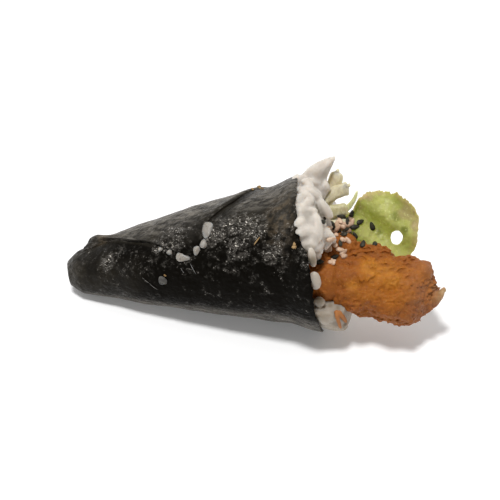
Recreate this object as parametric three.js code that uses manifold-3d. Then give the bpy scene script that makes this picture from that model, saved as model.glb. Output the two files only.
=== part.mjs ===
// A temaki hand roll lying on its side: a cone of nori wound round rice, with a breaded fillet, a
// lettuce leaf and a few pale shreds standing out of its open end.
// Millimetres, +Z up, +X from the tip to the open end, -Y the side that faces the viewer.

import * as THREE from "three";
import { ImprovedNoise } from "three/addons/math/ImprovedNoise.js";
import { mergeVertices } from "three/addons/utils/BufferGeometryUtils.js";
import Module from "manifold-3d";

const wasm = await Module();
wasm.setup();

// Driving dimensions. Angles round the roll run in degrees from the viewer's side (0) over the top (90).
const GAP = 0.35; // clearance between separate pieces that touch

const ROLL = {
  length: 94.8, // tip to rim, along the axis
  tipRadius: 6.9,
  mouthRadius: 27,
  flare: 2.2, // the last stretch opens out, where the floor doesn't stop it
  flareStart: 0.88,
  tipRounding: 2.2, // how much thinner the very end is
  roundingEnd: 0.055,
  tipSlant: 1.2, // the tip is cut a little askew
  crown: 2.5, // how far the side bows out between the ends
  wall: 0.8,
  flat: 0.6, // depth pressed flat where the roll lies
  slantAngle: 19, // where the askew cuts of tip and rim reach furthest
  rimSlant: 4.2,
  rimRagged: 0.8,
  // How far the rim falls short of its slanting cut, by angle from -180 to 180.
  rimRecess: [[-30, 0], [-12, 0.6], [28, 0.6], [40, 0.8], [50, 2.6], [76, 2.6], [92, 2], [124, 1.4], [140, 0]],
  recessStart: 0.75,
  hollowStart: 0.2, // the share of the length that is solid windings, from the tip
  around: 48,
};

// The tip's end face shows the windings as a spiral groove.
const TIP_GROOVE = { turns: 1.7, innerRadius: 1, outerRadius: 3.7, width: 0.5, depth: 1.1, steps: 14 };

// The last corner of the sheet, which laps over the roll and ends on the viewer's side.
// Each outline entry is [angle, share of the roll's length].
const FLAP = {
  thickness: 0.8,
  sunk: 0.5,
  lowerEdge: [[47, 0.53], [69, 0.384], [79, 0.3], [98, 0.195], [112, 0.12], [125, 0.092], [292, 0.092]],
  upperEdge: [[47, 0.55], [60, 0.6], [83, 0.636], [97, 0.704], [125, 0.81], [176, 1], [292, 1]],
  edgeLift: 0.4, // its upper edge stands off a little where it crosses the top
  liftAngles: [66, 84, 145, 165],
  lip: 0.8, // and its lower edge a little more
  lipLength: 0.03,
  lipAngles: [56, 76],
  lipEnd: [100, 112],
  mergeAngles: [190, 285], // behind the roll the lap sinks into the winding below it
  mergeDepth: 1.3, // in thicknesses
  foldHeight: 2.1, // its end by the tip is a thick rounded fold
  foldLength: 0.09,
  foldAngles: [92, 118, 175, 215],
  angleStep: 9,
};
const UNDERLAP = { start: 0.082, end: 0.17, angles: [96, 205], fullAngle: 115, thickness: 1.3 };

const RICE = {
  reach: 12, // how far the heap stands out of the rim
  thinReach: -6, // and where the fillet lies against the nori
  thinAngles: [-20, -6, 26, 56],
  lowReach: 15.2, // below the fillet
  lowAngles: [-75, -58, -24, -8],
  topReach: 9.2,
  topAngles: [55, 75, 125, 150],
  squareness: 2.8, // the heap's shoulder, from 2 (round) up
  spill: 0.5,
  peakSpill: 2.6, // it flares outwards over the rim at the upper back
  peakAngle: 122,
  peakSpread: 26,
  lowSpill: 2.4, // and over the rim below the fillet
  lowAngle: -48,
  lowSpread: 22,
  // Grains stuck together, standing up as a point.
  spires: [
    { path: [[90.4, 10.5, 45], [93.5, 13.5, 53], [98.2, 15.5, 57.9]], width: 10.5, tip: 1.8, thickness: 5.5 },
    { path: [[88.1, 11, 46.2], [88.3, 12.5, 54], [98, 15, 58]], width: 7.4, tip: 1.8, thickness: 5 },
  ],
  grainLength: 7.6,
  grainWidth: 2.9,
  grains: 68,
};

const FILLET = {
  root: new THREE.Vector3(54, 2, 18),
  bend: new THREE.Vector3(100, -14, 31),
  end: new THREE.Vector3(138.4, -12, 18.5),
  halfWidth: 12.6,
  shoulder: 1.5, // its upper rim bulges, most at shoulderMiddle of its length
  shoulderMiddle: 0.72,
  shoulderSpread: 0.12,
  halfThickness: 8.6,
  lean: 30, // its broad face leans towards the viewer
  endSlant: 3.4, // its lower corner ends short of the upper one
  endSlantMiddle: 0.1,
  crag: 1.25,
  crumbs: 14,
  around: 24,
  ringStep: 0.036,
  // Lumps of crust that stand out of its even form: middle, length across the fillet, width, thickness.
  knobs: [
    [[104.6, -2.5, 32.5], 10, 9, 8],
    [[101.1, -4.5, 33.3], 10, 9, 8],
    [[101.1, -6, 27.5], 9, 8, 7],
    [[96.5, -16, 26.1], 14, 9, 9],
    [[98.8, -14, 27.5], 18, 12, 11],
    [[133.5, -8, 27.9], 8, 6, 8],
  ],
};

const LEAF = {
  centre: new THREE.Vector3(118.9, 10.5, 33.4),
  tailDrop: 5,
  halfWidth: 12.5,
  rise: 12.2,
  drop: 15.5,
  tail: 34, // from the centre back into the heap
  tailHalfWidth: 4,
  leftFullness: 2.8, // how square its outline is, from 2 (round) up
  rightFullness: 2,
  thickness: 0.9,
  wave: 1.3,
  fineWave: 0.8,
  ragged: 0.7,
  lean: 62, // from lying flat towards standing
  hole: { across: 4.6, down: 4.4, halfWidth: 2.2, halfHeight: 2.9, depth: 12 },
};

// Sesame: where it sticks, as [share of the fillet, angle round it] and as [across, up] on the leaf.
const SEED = {
  length: 3.3,
  width: 1.8,
  thickness: 1.1,
  onFillet: [[0.54, 72], [0.555, 39], [0.485, 87], [0.655, 20], [0.7, 18], [0.52, 57], [0.57, 66]],
  onLeaf: [[-11.1, -0.7], [-9.3, 1.5], [-5, -0.4], [-11.8, 4.1]],
};

// A forked crumb of crust that sticks in the rice below the fillet: both ends of each leg, and its width.
const SCRAP = {
  legs: [
    [[104.5, -24.6, 20.3], [105.7, -24.4, 12.7], 1.8],
    [[104.9, -24.6, 18.4], [107.5, -22.6, 13.8], 2.2],
  ],
};

const radians = THREE.MathUtils.degToRad;
const lerp = THREE.MathUtils.lerp;
const smooth = THREE.MathUtils.smoothstep;
const perlin = new ImprovedNoise();

// ---- numbers ----

// A repeatable stream of random numbers from 0 to 1.
function randomStream(seed) {
  let state = seed;
  return () => {
    state = (state + 0x6d2b79f5) | 0;
    let mixed = Math.imul(state ^ (state >>> 15), 1 | state);
    mixed = (mixed + Math.imul(mixed ^ (mixed >>> 7), 61 | mixed)) ^ mixed;
    return ((mixed ^ (mixed >>> 14)) >>> 0) / 4294967296;
  };
}

// Perlin noise of a point, with lumps about as large as size.
function lumps(point, size, offset = 0) {
  return perlin.noise(point.x / size + offset, point.y / size + offset, point.z / size + offset);
}

// The height at x of the broken line through [x, height] entries.
function heightAt(entries, x) {
  const next = entries.findIndex((entry) => entry[0] >= x);
  if (next === 0) return entries[0][1];
  if (next < 0) return entries[entries.length - 1][1];
  const [x0, y0] = entries[next - 1];
  const [x1, y1] = entries[next];
  return lerp(y0, y1, (x - x0) / (x1 - x0));
}

// ---- solids from points ----

function solidOf(points, faces) {
  const geometry = new THREE.BufferGeometry();
  const numbers = points.flatMap((p) => p.toArray());
  geometry.setAttribute("position", new THREE.Float32BufferAttribute(numbers, 3));
  geometry.setIndex(faces.flat());
  return manifoldOf(geometry);
}

function manifoldOf(geometry) {
  const bare = geometry.clone();
  bare.deleteAttribute("normal");
  bare.deleteAttribute("uv");
  const merged = mergeVertices(bare, 1e-4);
  const facing = (triVerts) => {
    const vertProperties = merged.attributes.position.array;
    return new wasm.Manifold(new wasm.Mesh({ numProp: 3, vertProperties, triVerts }));
  };
  const triVerts = new Uint32Array(merged.index.array);
  const solid = facing(triVerts);
  return solid.volume() < 0 ? facing(triVerts.reverse()) : solid;
}

// A closed solid through a list of rings, each end shut by a fan round its middle.
function loft(rings) {
  const around = rings[0].length;
  const points = rings.flat();
  const faces = [];
  for (let i = 0; i + 1 < rings.length; i++)
    for (let j = 0; j < around; j++) {
      const a = i * around + j;
      const b = i * around + ((j + 1) % around);
      faces.push([a, b, b + around], [a, b + around, a + around]);
    }
  for (const end of [0, rings.length - 1]) {
    const middle = new THREE.Vector3();
    for (const p of rings[end]) middle.addScaledVector(p, 1 / around);
    points.push(middle);
    for (let j = 0; j < around; j++) {
      const edge = [end * around + j, end * around + ((j + 1) % around)];
      if (end === 0) edge.reverse();
      faces.push([...edge, points.length - 1]);
    }
  }
  return solidOf(points, faces);
}

// A closed thin solid between two grids of points, both faces split into triangles alike.
function slab(front, back) {
  const rows = front.length;
  const columns = front[0].length;
  const under = rows * columns;
  const faces = [];
  for (let i = 0; i + 1 < rows; i++)
    for (let j = 0; j + 1 < columns; j++) {
      const a = i * columns + j;
      const c = a + columns;
      faces.push([a, a + 1, c + 1], [a, c + 1, c]);
      faces.push([under + a, under + c + 1, under + a + 1], [under + a, under + c, under + c + 1]);
    }
  const rim = [];
  for (let j = 0; j + 1 < columns; j++) rim.push(j);
  for (let i = 0; i + 1 < rows; i++) rim.push(i * columns + columns - 1);
  for (let j = columns - 1; j > 0; j--) rim.push((rows - 1) * columns + j);
  for (let i = rows - 1; i > 0; i--) rim.push(i * columns);
  rim.forEach((a, k) => {
    const b = rim[(k + 1) % rim.length];
    faces.push([a, under + b, b], [a, under + a, under + b]);
  });
  return solidOf([...front.flat(), ...back.flat()], faces);
}

function joined(solids) {
  return solids.reduce((sum, solid) => sum.add(solid));
}

function largestBody(solid) {
  return solid.decompose().reduce((a, b) => (a.volume() > b.volume() ? a : b));
}

function overlaps(solid, others) {
  return others.some((other) => solid.intersect(other).volume() > 0);
}

// A rounded spindle with few sides: a grain, a seed or a bead of rice.
function spindle(centre, axis, length, width, thickness, up, sides = 5) {
  const across = new THREE.Vector3().crossVectors(up, axis).normalize();
  const out = new THREE.Vector3().crossVectors(axis, across).normalize();
  const rings = [-0.42, 0, 0.42].map((share) => {
    const full = share === 0 ? 0.5 : 0.33;
    const middle = centre.clone().addScaledVector(axis, share * length);
    return Array.from({ length: sides }, (_, j) => {
      const turn = (2 * Math.PI * j) / sides;
      return middle
        .clone()
        .addScaledVector(across, full * width * Math.cos(turn))
        .addScaledVector(out, full * thickness * Math.sin(turn));
    });
  });
  return loft(rings);
}

// ---- the cone of nori ----

const TILT = Math.atan((ROLL.mouthRadius - ROLL.tipRadius) / ROLL.length);
const REST_HEIGHT = ROLL.tipRadius * Math.cos(TILT) - ROLL.flat;

// From the roll's own frame (along its axis, sideways, up from its axis) to the part's frame.
function tilted(along, side, rise) {
  return new THREE.Vector3(
    along * Math.cos(TILT) - rise * Math.sin(TILT),
    side,
    along * Math.sin(TILT) + rise * Math.cos(TILT) + REST_HEIGHT,
  );
}

function rollRadius(t, angle) {
  const rounding = ROLL.tipRounding * Math.pow(Math.max(0, 1 - t / ROLL.roundingEnd), 1.3);
  const cone = lerp(ROLL.tipRadius, ROLL.mouthRadius, t) - rounding;
  const clearOfFloor = Math.sqrt(0.5 + 0.5 * Math.sin(radians(angle)));
  const crown = ROLL.crown * 4 * t * (1 - t) * clearOfFloor;
  const flare = ROLL.flare * smooth(t, ROLL.flareStart, 1) * smooth(clearOfFloor, 0.1, 0.4);
  return cone + crown + flare;
}

// The same angle between -180 and 180.
function halfTurned(angle) {
  return ((angle + 180) % 360) - 180;
}

function cutSlant(angle) {
  return Math.cos(radians(angle - ROLL.slantAngle));
}

function alongRoll(t, angle) {
  const turn = radians(angle);
  const ragged = ROLL.rimRagged * perlin.noise(5 * Math.cos(turn), 5 * Math.sin(turn), 3.7);
  const recess = heightAt(ROLL.rimRecess, halfTurned(angle)) * smooth(t, ROLL.recessStart, 1);
  const rim = ROLL.length + ROLL.rimSlant * cutSlant(angle) + ragged;
  return lerp(ROLL.tipSlant * cutSlant(angle), rim, t) - recess;
}

// A point of the roll: t runs from the tip to the rim, depth is measured in from the outer face.
function rollPoint(t, angle, depth) {
  const turn = radians(angle);
  const radius = rollRadius(t, angle) - depth;
  const point = tilted(alongRoll(t, angle), -radius * Math.cos(turn), radius * Math.sin(turn));
  point.z = Math.max(point.z, depth, 0);
  return point;
}

function turnedRing(count, pointAt) {
  return Array.from({ length: count }, (_, j) => pointAt((360 * j) / count));
}

function noriCone() {
  const outer = [0, 0.02, 0.05, 0.1, 0.2, 0.32, 0.44, 0.56, 0.68, 0.8, ROLL.flareStart, 0.95, 1];
  const inner = [ROLL.hollowStart, 0.4, 0.6, 0.8, ROLL.flareStart, 0.95, 1.02];
  const outside = outer.map((t) => turnedRing(ROLL.around, (angle) => rollPoint(t, angle, 0)));
  const inside = inner.map((t) => turnedRing(ROLL.around, (angle) => rollPoint(t, angle, ROLL.wall)));
  return loft(outside).subtract(loft(inside));
}

// The groove between the windings in the tip's end face.
function tipGroove() {
  const endRadius = rollRadius(0, 0);
  const grid = (side) =>
    Array.from({ length: TIP_GROOVE.steps }, (_, i) => {
      const share = i / (TIP_GROOVE.steps - 1);
      const angle = 360 * TIP_GROOVE.turns * share;
      const middle = lerp(TIP_GROOVE.innerRadius, TIP_GROOVE.outerRadius, share);
      const radius = middle + (side * TIP_GROOVE.width) / 2;
      const face = (ROLL.tipSlant * cutSlant(angle) * radius) / endRadius;
      return [-TIP_GROOVE.depth, TIP_GROOVE.depth].map((depth) =>
        tilted(face + depth, -radius * Math.cos(radians(angle)), radius * Math.sin(radians(angle))),
      );
    });
  return slab(grid(1), grid(-1));
}

// How far the lap stands proud of the winding below it.
function lapHeight(t, start, end, angle) {
  const merge = smooth(angle, ...FLAP.mergeAngles);
  const fold =
    (1 - smooth(t, start + 0.3 * FLAP.foldLength, start + FLAP.foldLength)) *
    smooth(angle, FLAP.foldAngles[0], FLAP.foldAngles[1]) *
    (1 - smooth(angle, FLAP.foldAngles[2], FLAP.foldAngles[3]));
  const lift =
    smooth(t, end - 0.09, end) *
    smooth(angle, FLAP.liftAngles[0], FLAP.liftAngles[1]) *
    (1 - smooth(angle, FLAP.liftAngles[2], FLAP.liftAngles[3]));
  const rolled = smooth(angle, ...FLAP.lipEnd);
  const lip = (1 - smooth(t, start, start + FLAP.lipLength)) * smooth(angle, ...FLAP.lipAngles) * (1 - rolled);
  const roundedEdge = lerp(1, 0.45 + 0.55 * smooth(t, start, start + 0.02), rolled);
  const flat = FLAP.thickness * (1 - FLAP.mergeDepth * merge);
  return (flat + FLAP.foldHeight * fold + FLAP.edgeLift * lift + FLAP.lip * lip) * roundedEdge;
}

function noriLap() {
  const columns = 11;
  const angles = [];
  const [firstAngle] = FLAP.lowerEdge[0];
  const [lastAngle] = FLAP.lowerEdge[FLAP.lowerEdge.length - 1];
  for (let angle = firstAngle; angle <= lastAngle; angle += FLAP.angleStep) angles.push(angle);
  const grid = (heightOf) =>
    angles.map((angle) => {
      const start = heightAt(FLAP.lowerEdge, angle);
      const end = heightAt(FLAP.upperEdge, angle);
      return Array.from({ length: columns }, (_, j) => {
        const t = lerp(start, end, Math.pow(j / (columns - 1), 1.3));
        return rollPoint(t, angle, -heightOf(t, start, end, angle));
      });
    });
  return slab(grid(lapHeight), grid(() => -FLAP.sunk));
}

// The winding below the lap, whose end shows as a second step near the tip.
function noriUnderlap() {
  const columns = 5;
  const rows = 12;
  const angles = Array.from({ length: rows }, (_, i) => lerp(...UNDERLAP.angles, i / (rows - 1)));
  const grid = (heightOf) =>
    angles.map((angle) =>
      Array.from({ length: columns }, (_, j) => {
        const share = j / (columns - 1);
        const t = lerp(UNDERLAP.start, UNDERLAP.end, share);
        return rollPoint(t, angle, -heightOf(share, smooth(angle, UNDERLAP.angles[0], UNDERLAP.fullAngle)));
      }),
    );
  const height = (share, edge) => {
    const roundedEnd = 0.5 + 0.5 * smooth(share, 0, 0.2);
    return UNDERLAP.thickness * roundedEnd * (0.3 + 0.7 * edge);
  };
  return slab(grid(height), grid(() => -FLAP.sunk));
}

const BEAD = { proud: 0.35, thickness: 2.2, sides: 7 };

// Rice squeezed out from under the lap, as beads: share of the length, angle, length, width, turn.
const BEADS = [
  [0.622, 70, 6.6, 4.2, 75],
  [0.604, 57, 3.4, 2.4, 60],
  [0.572, 51, 3.6, 2.6, 70],
  [0.52, 46, 5.6, 3.2, -15],
  [0.462, 53, 2.2, 1.8, 0],
  [0.43, 58, 1.8, 1.4, 0],
  [0.416, 20, 3.6, 3.2, 40],
];

function riceBeads() {
  return BEADS.map(([t, angle, length, width, turn]) => {
    const centre = rollPoint(t, angle, -BEAD.proud);
    const along = rollPoint(t + 0.01, angle, -BEAD.proud).sub(centre).normalize();
    const around = rollPoint(t, angle + 1, -BEAD.proud).sub(centre).normalize();
    const up = new THREE.Vector3().crossVectors(along, around).normalize();
    const axis = along.multiplyScalar(Math.cos(radians(turn)));
    axis.addScaledVector(around, Math.sin(radians(turn))).normalize();
    return spindle(centre, axis, length, width, BEAD.thickness, up, BEAD.sides);
  });
}

// ---- the fillet ----

const filletLine = new THREE.QuadraticBezierCurve3(FILLET.root, FILLET.bend, FILLET.end);
const RIM_SHARE = 0.47; // the share of the fillet that is inside the roll

const filletLean = radians(FILLET.lean);
const filletBroad = new THREE.Vector3(0, Math.cos(filletLean), Math.sin(filletLean));
const filletThick = new THREE.Vector3(0, -Math.sin(filletLean), Math.cos(filletLean));

// A cosine or sine, squared off so that the section is fuller than an ellipse.
function fuller(value) {
  return Math.sign(value) * Math.pow(Math.abs(value), 0.85);
}

function filletPoint(s, angle, height) {
  const turn = radians(angle);
  const root = lerp(0.45, 1, smooth(s, 0, RIM_SHARE));
  const end = Math.pow(1 - Math.pow(smooth(s, 0.87, 1.03), 1.8), 0.6);
  const outward = new THREE.Vector3();
  const bulge = Math.exp(-(((s - FILLET.shoulderMiddle) / FILLET.shoulderSpread) ** 2));
  const wide = FILLET.halfWidth + FILLET.shoulder * bulge * Math.max(0, Math.cos(turn));
  outward.addScaledVector(filletBroad, wide * fuller(Math.cos(turn)));
  outward.addScaledVector(filletThick, FILLET.halfThickness * fuller(Math.sin(turn)));
  const base = filletLine.getPoint(s).addScaledVector(outward, root * end);
  base.x += FILLET.endSlant * (Math.cos(turn) - FILLET.endSlantMiddle) * smooth(s, 0.7, 1) * end;
  const shown = smooth(s, RIM_SHARE - 0.1, RIM_SHARE + 0.05);
  const relief = FILLET.crag * shown * (1.7 * lumps(base, 6.5, 5) + 1.1 * lumps(base, 2.9, 11));
  return base.addScaledVector(outward.normalize(), relief + height);
}

function filletBody(grow) {
  const shares = [0, 0.14, 0.28, 0.4];
  for (let s = RIM_SHARE; s < 1; s += FILLET.ringStep) shares.push(s);
  shares.push(1);
  const rings = shares.map((s) => turnedRing(FILLET.around, (angle) => filletPoint(s, angle, grow)));
  return loft(rings);
}

function crustKnobs(grow) {
  return FILLET.knobs.map(([middle, length, width, thickness]) => {
    const sizes = [length, width, thickness].map((size) => size + 2 * grow);
    return spindle(new THREE.Vector3(...middle), filletBroad, ...sizes, filletThick, 8);
  });
}

// Flakes of crumb that stand out of the crust.
function crumbFlakes() {
  const random = randomStream(7);
  return Array.from({ length: FILLET.crumbs }, () => {
    const s = lerp(RIM_SHARE + 0.12, 0.97, random());
    const angle = 360 * random();
    const seat = filletPoint(s, angle, 0);
    const outward = filletPoint(s, angle, 1).sub(seat).normalize();
    const flake = new THREE.IcosahedronGeometry(1, 0);
    flake.scale(1.4 + 0.8 * random(), 1.1 + 0.5 * random(), 0.7 + 0.4 * random());
    const facing = new THREE.Quaternion().setFromUnitVectors(new THREE.Vector3(0, 0, 1), outward);
    flake.applyQuaternion(facing);
    flake.translate(...seat.addScaledVector(outward, 0.15).toArray());
    return manifoldOf(flake);
  });
}

// The curled point of crust at the far end.
function crustSpur() {
  const base = new THREE.Vector3(-4, 0, -1).add(FILLET.end);
  const middle = new THREE.Vector3(1.2, 0, -0.5).add(FILLET.end);
  const tip = new THREE.Vector3(3.1, 1, 4.5).add(FILLET.end);
  const path = [base, middle, tip].map((p) => p.toArray());
  return strip({ path, width: 8, tip: 1.4, thickness: 5.5 }, 0);
}

function crustScrap(grow) {
  const legs = SCRAP.legs.map(([from, to, width]) => {
    const start = new THREE.Vector3(...from);
    const axis = new THREE.Vector3(...to).sub(start);
    const centre = start.clone().addScaledVector(axis, 0.5);
    const length = axis.length() + 2 * grow;
    const full = width + 2 * grow;
    return spindle(centre, axis.normalize(), length, full, full, filletBroad, 7);
  });
  return joined(legs);
}

// ---- the leaf ----

const leafAcross = new THREE.Vector3(1, 0, 0);
const leafUp = new THREE.Vector3(0, Math.cos(radians(LEAF.lean)), Math.sin(radians(LEAF.lean)));
const leafOut = new THREE.Vector3().crossVectors(leafAcross, leafUp);

function leafEdge(across, reach) {
  const share = Math.min(1, Math.abs(across) / LEAF.halfWidth);
  const fullness = across < 0 ? LEAF.leftFullness : LEAF.rightFullness;
  const blade = reach * Math.pow(1 - Math.pow(share, fullness), 1 / fullness);
  const tail = across < 0 ? LEAF.tailHalfWidth : 1;
  return Math.max(blade, tail);
}

function leafPoint(across, up, out) {
  const broad = LEAF.wave * Math.sin(across / 3.1 + up / 5) * Math.cos(up / 4.3 - across / 9);
  const fine = LEAF.fineWave * Math.sin(up / 2.2 + across / 2.7);
  return LEAF.centre
    .clone()
    .addScaledVector(leafAcross, across)
    .addScaledVector(leafUp, up)
    .addScaledVector(leafOut, out + broad + fine);
}

function lettuceLeaf(grow) {
  const rows = 22;
  const columns = 11;
  const half = LEAF.thickness / 2 + grow;
  const first = -LEAF.tail - grow;
  const last = LEAF.halfWidth - 0.3 + grow;
  const grid = (out) =>
    Array.from({ length: rows }, (_, i) => {
      const across = lerp(first, last, Math.pow(i / (rows - 1), 0.75));
      const ragged = LEAF.ragged * lumps(new THREE.Vector3(across, 0, 0), 2.3, 3);
      const fall = LEAF.tailDrop * smooth(-across, LEAF.halfWidth - 2, LEAF.tail);
      const top = leafEdge(across, LEAF.rise) + ragged + grow - fall;
      const bottom = -leafEdge(across, LEAF.drop) - ragged - grow - fall;
      const upAt = (j) => lerp(bottom, top, j / (columns - 1));
      return Array.from({ length: columns }, (_, j) => leafPoint(across, upAt(j), out));
    });
  return slab(grid(half), grid(-half));
}

function leafHole() {
  const { across, down, halfWidth, halfHeight, depth } = LEAF.hole;
  const outline = new THREE.Shape();
  outline.absellipse(0, 0, halfWidth, halfHeight, 0, 2 * Math.PI, false, 0);
  const plug = new THREE.ExtrudeGeometry(outline, { depth, bevelEnabled: false, curveSegments: 6 });
  plug.translate(0, 0, -depth / 2);
  const frame = new THREE.Matrix4().makeBasis(leafAcross, leafUp, leafOut);
  frame.setPosition(
    LEAF.centre.clone().addScaledVector(leafAcross, across).addScaledVector(leafUp, -down),
  );
  return manifoldOf(plug.applyMatrix4(frame));
}

// ---- the pale shreds ----

// Each shred runs from inside the heap to its blunt tip, with a width that tapers to the last value.
const SHREDS = {
  shred_tall: {
    path: [[94, 11, 36], [98.8, 12.6, 43], [100, 15.6, 52.4]],
    width: 4.6,
    tip: 5,
    thickness: 2.4,
  },
  shred_fork: {
    path: [[94.9, 8.6, 42.6], [99.6, 11, 46.8], [104.7, 12.3, 47.6]],
    width: 4.6,
    tip: 5,
    thickness: 2.2,
  },
  shred_curl: {
    path: [[97, 6.8, 37.5], [106.6, 8.8, 39.6], [107.8, 12.2, 46.8]],
    width: 3.4,
    tip: 0.9,
    thickness: 1.4,
  },
  shred_broad: {
    path: [[91, 4.4, 39], [99, 5, 41.8], [105, 6.6, 42.6]],
    width: 5.6,
    tip: 4.4,
    thickness: 1.8,
  },
  shred_low: {
    path: [[90, 1, 34.5], [98, 2.4, 37.8], [105.6, 3.4, 38]],
    width: 5,
    tip: 4,
    thickness: 2.2,
  },
};

// A tapering strip along a path, rounded at its ends.
function strip({ path, width, tip, thickness }, grow) {
  const line = new THREE.QuadraticBezierCurve3(...path.map((p) => new THREE.Vector3(...p)));
  const steps = 7;
  const rings = Array.from({ length: steps }, (_, i) => {
    const s = i / (steps - 1);
    const centre = line.getPoint(s);
    const along = line.getTangent(s);
    const across = new THREE.Vector3().crossVectors(along, leafOut).normalize();
    const out = new THREE.Vector3().crossVectors(across, along).normalize();
    const ends = s === 0 || s === 1 ? 0.6 : 1;
    const half = (0.5 * lerp(width, tip, s)) * ends + grow;
    const flatness = 0.5 * thickness * ends + grow;
    return Array.from({ length: 8 }, (_, j) => {
      const turn = (2 * Math.PI * j) / 8;
      return centre
        .clone()
        .addScaledVector(across, half * Math.cos(turn))
        .addScaledVector(out, flatness * Math.sin(turn));
    });
  });
  return loft(rings);
}

// ---- the rice ----

function heapReach(angle) {
  const turned = halfTurned(angle);
  const within = ([a, b, c, d]) => smooth(turned, a, b) * (1 - smooth(turned, c, d));
  const low = lerp(RICE.reach, RICE.lowReach, within(RICE.lowAngles));
  const full = lerp(low, RICE.topReach, within(RICE.topAngles));
  return lerp(full, RICE.thinReach, within(RICE.thinAngles));
}

function heapSpill(angle) {
  const peak = (halfTurned(angle) - RICE.peakAngle) / RICE.peakSpread;
  const low = (halfTurned(angle) - RICE.lowAngle) / RICE.lowSpread;
  return RICE.spill + RICE.peakSpill * Math.exp(-peak * peak) + RICE.lowSpill * Math.exp(-low * low);
}

// The heap outside the rim: s runs from the rim over the shoulder to the middle of its face.
function heapPoint(s, angle, height) {
  const turn = radians(angle);
  const inset = ROLL.wall + GAP;
  const shoulder = Math.pow(Math.sin((s * Math.PI) / 2), 2 / RICE.squareness);
  const reach = heapReach(angle) * shoulder + height * s;
  const full = rollRadius(1, angle) - inset;
  const round = Math.pow(Math.max(0, Math.cos((s * Math.PI) / 2)), 2 / RICE.squareness);
  const flare = heapSpill(angle) * smooth(s, 0, 0.25) * round;
  const rim = alongRoll(1, angle);
  const start = rim + GAP + Math.min(0, heapReach(angle)) * (1 - s);
  const along = lerp(start, ROLL.length, smooth(s, 0, 1)) + reach;
  const most = along < rim ? rollRadius(along / rim, angle) - inset : Infinity;
  const radius = Math.min(most, full * round + flare + height * (1 - s));
  const point = tilted(along, -radius * Math.cos(turn), radius * Math.sin(turn));
  point.z = Math.max(point.z, lerp(inset, GAP, smooth(s, 0.02, 0.2)));
  return point;
}

function riceCore() {
  const around = 32;
  const buried = [ROLL.hollowStart + 0.02, 0.5, 0.8, ROLL.flareStart, 0.92];
  const shown = [0.02, 0.12, 0.3, 0.5, 0.7, 0.9];
  return loft([
    ...buried.map((t) => turnedRing(around, (angle) => rollPoint(t, angle, ROLL.wall + GAP))),
    ...shown.map((s) => turnedRing(around, (angle) => heapPoint(s, angle, 0))),
  ]);
}

function riceSpires() {
  return RICE.spires.map((size) => strip(size, 0));
}

function riceGrain(centre, axis, up, scale = 1) {
  return spindle(centre, axis, RICE.grainLength * scale, RICE.grainWidth, RICE.grainWidth * 0.9, up);
}

// Grains spread over the heap by a seeded draw. One that would cross another piece or the floor is
// left out.
function riceGrains(neighbours) {
  const random = randomStream(23);
  const grains = [];
  for (let k = 0; k < RICE.grains; k++) {
    const angle = (360 * (k * 0.618034)) % 360;
    const s = 0.03 + 0.82 * ((k + 0.5) / RICE.grains);
    const lift = 0.1 + 0.7 * random();
    const centre = heapPoint(s, angle, lift);
    const outward = heapPoint(s, angle, lift + 1).sub(centre).normalize();
    const around = heapPoint(s, angle + 2, lift).sub(centre).normalize();
    const along = new THREE.Vector3().crossVectors(around, outward).normalize();
    const turn = Math.PI * random();
    const axis = around.multiplyScalar(Math.cos(turn)).addScaledVector(along, Math.sin(turn));
    axis.addScaledVector(outward, 0.5 * (random() - 0.5)).normalize();
    const grain = riceGrain(centre, axis, outward, 0.85 + 0.3 * random());
    const aboveFloor = grain.boundingBox().min[2] > GAP;
    if (aboveFloor && !overlaps(grain, neighbours)) grains.push(grain);
  }
  return grains;
}

// ---- sesame ----

function seedOn(seat, outward, turn) {
  const side = new THREE.Vector3().crossVectors(outward, new THREE.Vector3(1, 0, 0)).normalize();
  const along = new THREE.Vector3().crossVectors(side, outward).normalize();
  const axis = along.multiplyScalar(Math.cos(turn)).addScaledVector(side, Math.sin(turn));
  return spindle(seat, axis, SEED.length, SEED.width, SEED.thickness, outward);
}

function filletSeeds() {
  return SEED.onFillet.map(([s, angle], k) => {
    const seat = filletPoint(s, angle, 0.3);
    return seedOn(seat, filletPoint(s, angle, 1.3).sub(seat).normalize(), 2.4 * k);
  });
}

function leafSeeds() {
  return SEED.onLeaf.map(([across, up], k) => seedOn(leafPoint(across, up, 0.6), leafOut, 1.7 * k));
}

// ---- the pieces, put together ----

const cone = noriCone().subtract(tipGroove());
const nori = largestBody(joined([cone, noriLap(), noriUnderlap(), ...riceBeads()]));
const shreds = Object.entries(SHREDS).map(([name, size]) => [name, strip(size, 0)]);
const pockets = [
  filletBody(GAP),
  ...crustKnobs(GAP),
  lettuceLeaf(GAP),
  crustScrap(GAP),
  ...Object.values(SHREDS).map((size) => strip(size, GAP)),
];
const grains = riceGrains([...pockets, nori]);
const rice = largestBody(joined([riceCore(), ...riceSpires(), ...grains]).subtract(joined(pockets)));

// What lies on a piece is left out where the rice or a neighbour is in its way.
function dressed(body, small, neighbours) {
  return largestBody(joined([body, ...small.filter((solid) => !overlaps(solid, neighbours))]));
}

const shredSolids = shreds.map(([, solid]) => solid);
const blade = lettuceLeaf(0).subtract(leafHole());
const leaf = dressed(blade, leafSeeds(), [rice, filletBody(GAP), ...crustKnobs(GAP), ...shredSolids]);
const crust = [...crustKnobs(0), ...crumbFlakes(), crustSpur(), ...filletSeeds()];
const fillet = dressed(filletBody(0), crust, [rice, leaf, nori, ...shredSolids]);

const looks = {
  nori: new THREE.MeshStandardMaterial({ color: 0x26241e, roughness: 0.55 }),
  rice: new THREE.MeshStandardMaterial({ color: 0xd6cec2, roughness: 0.4 }),
  crust: new THREE.MeshStandardMaterial({ color: 0xa8662a, roughness: 0.75 }),
  lettuce: new THREE.MeshStandardMaterial({ color: 0x9aa54e, roughness: 0.45 }),
  shred: new THREE.MeshStandardMaterial({ color: 0xc4c096, roughness: 0.45 }),
};

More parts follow.
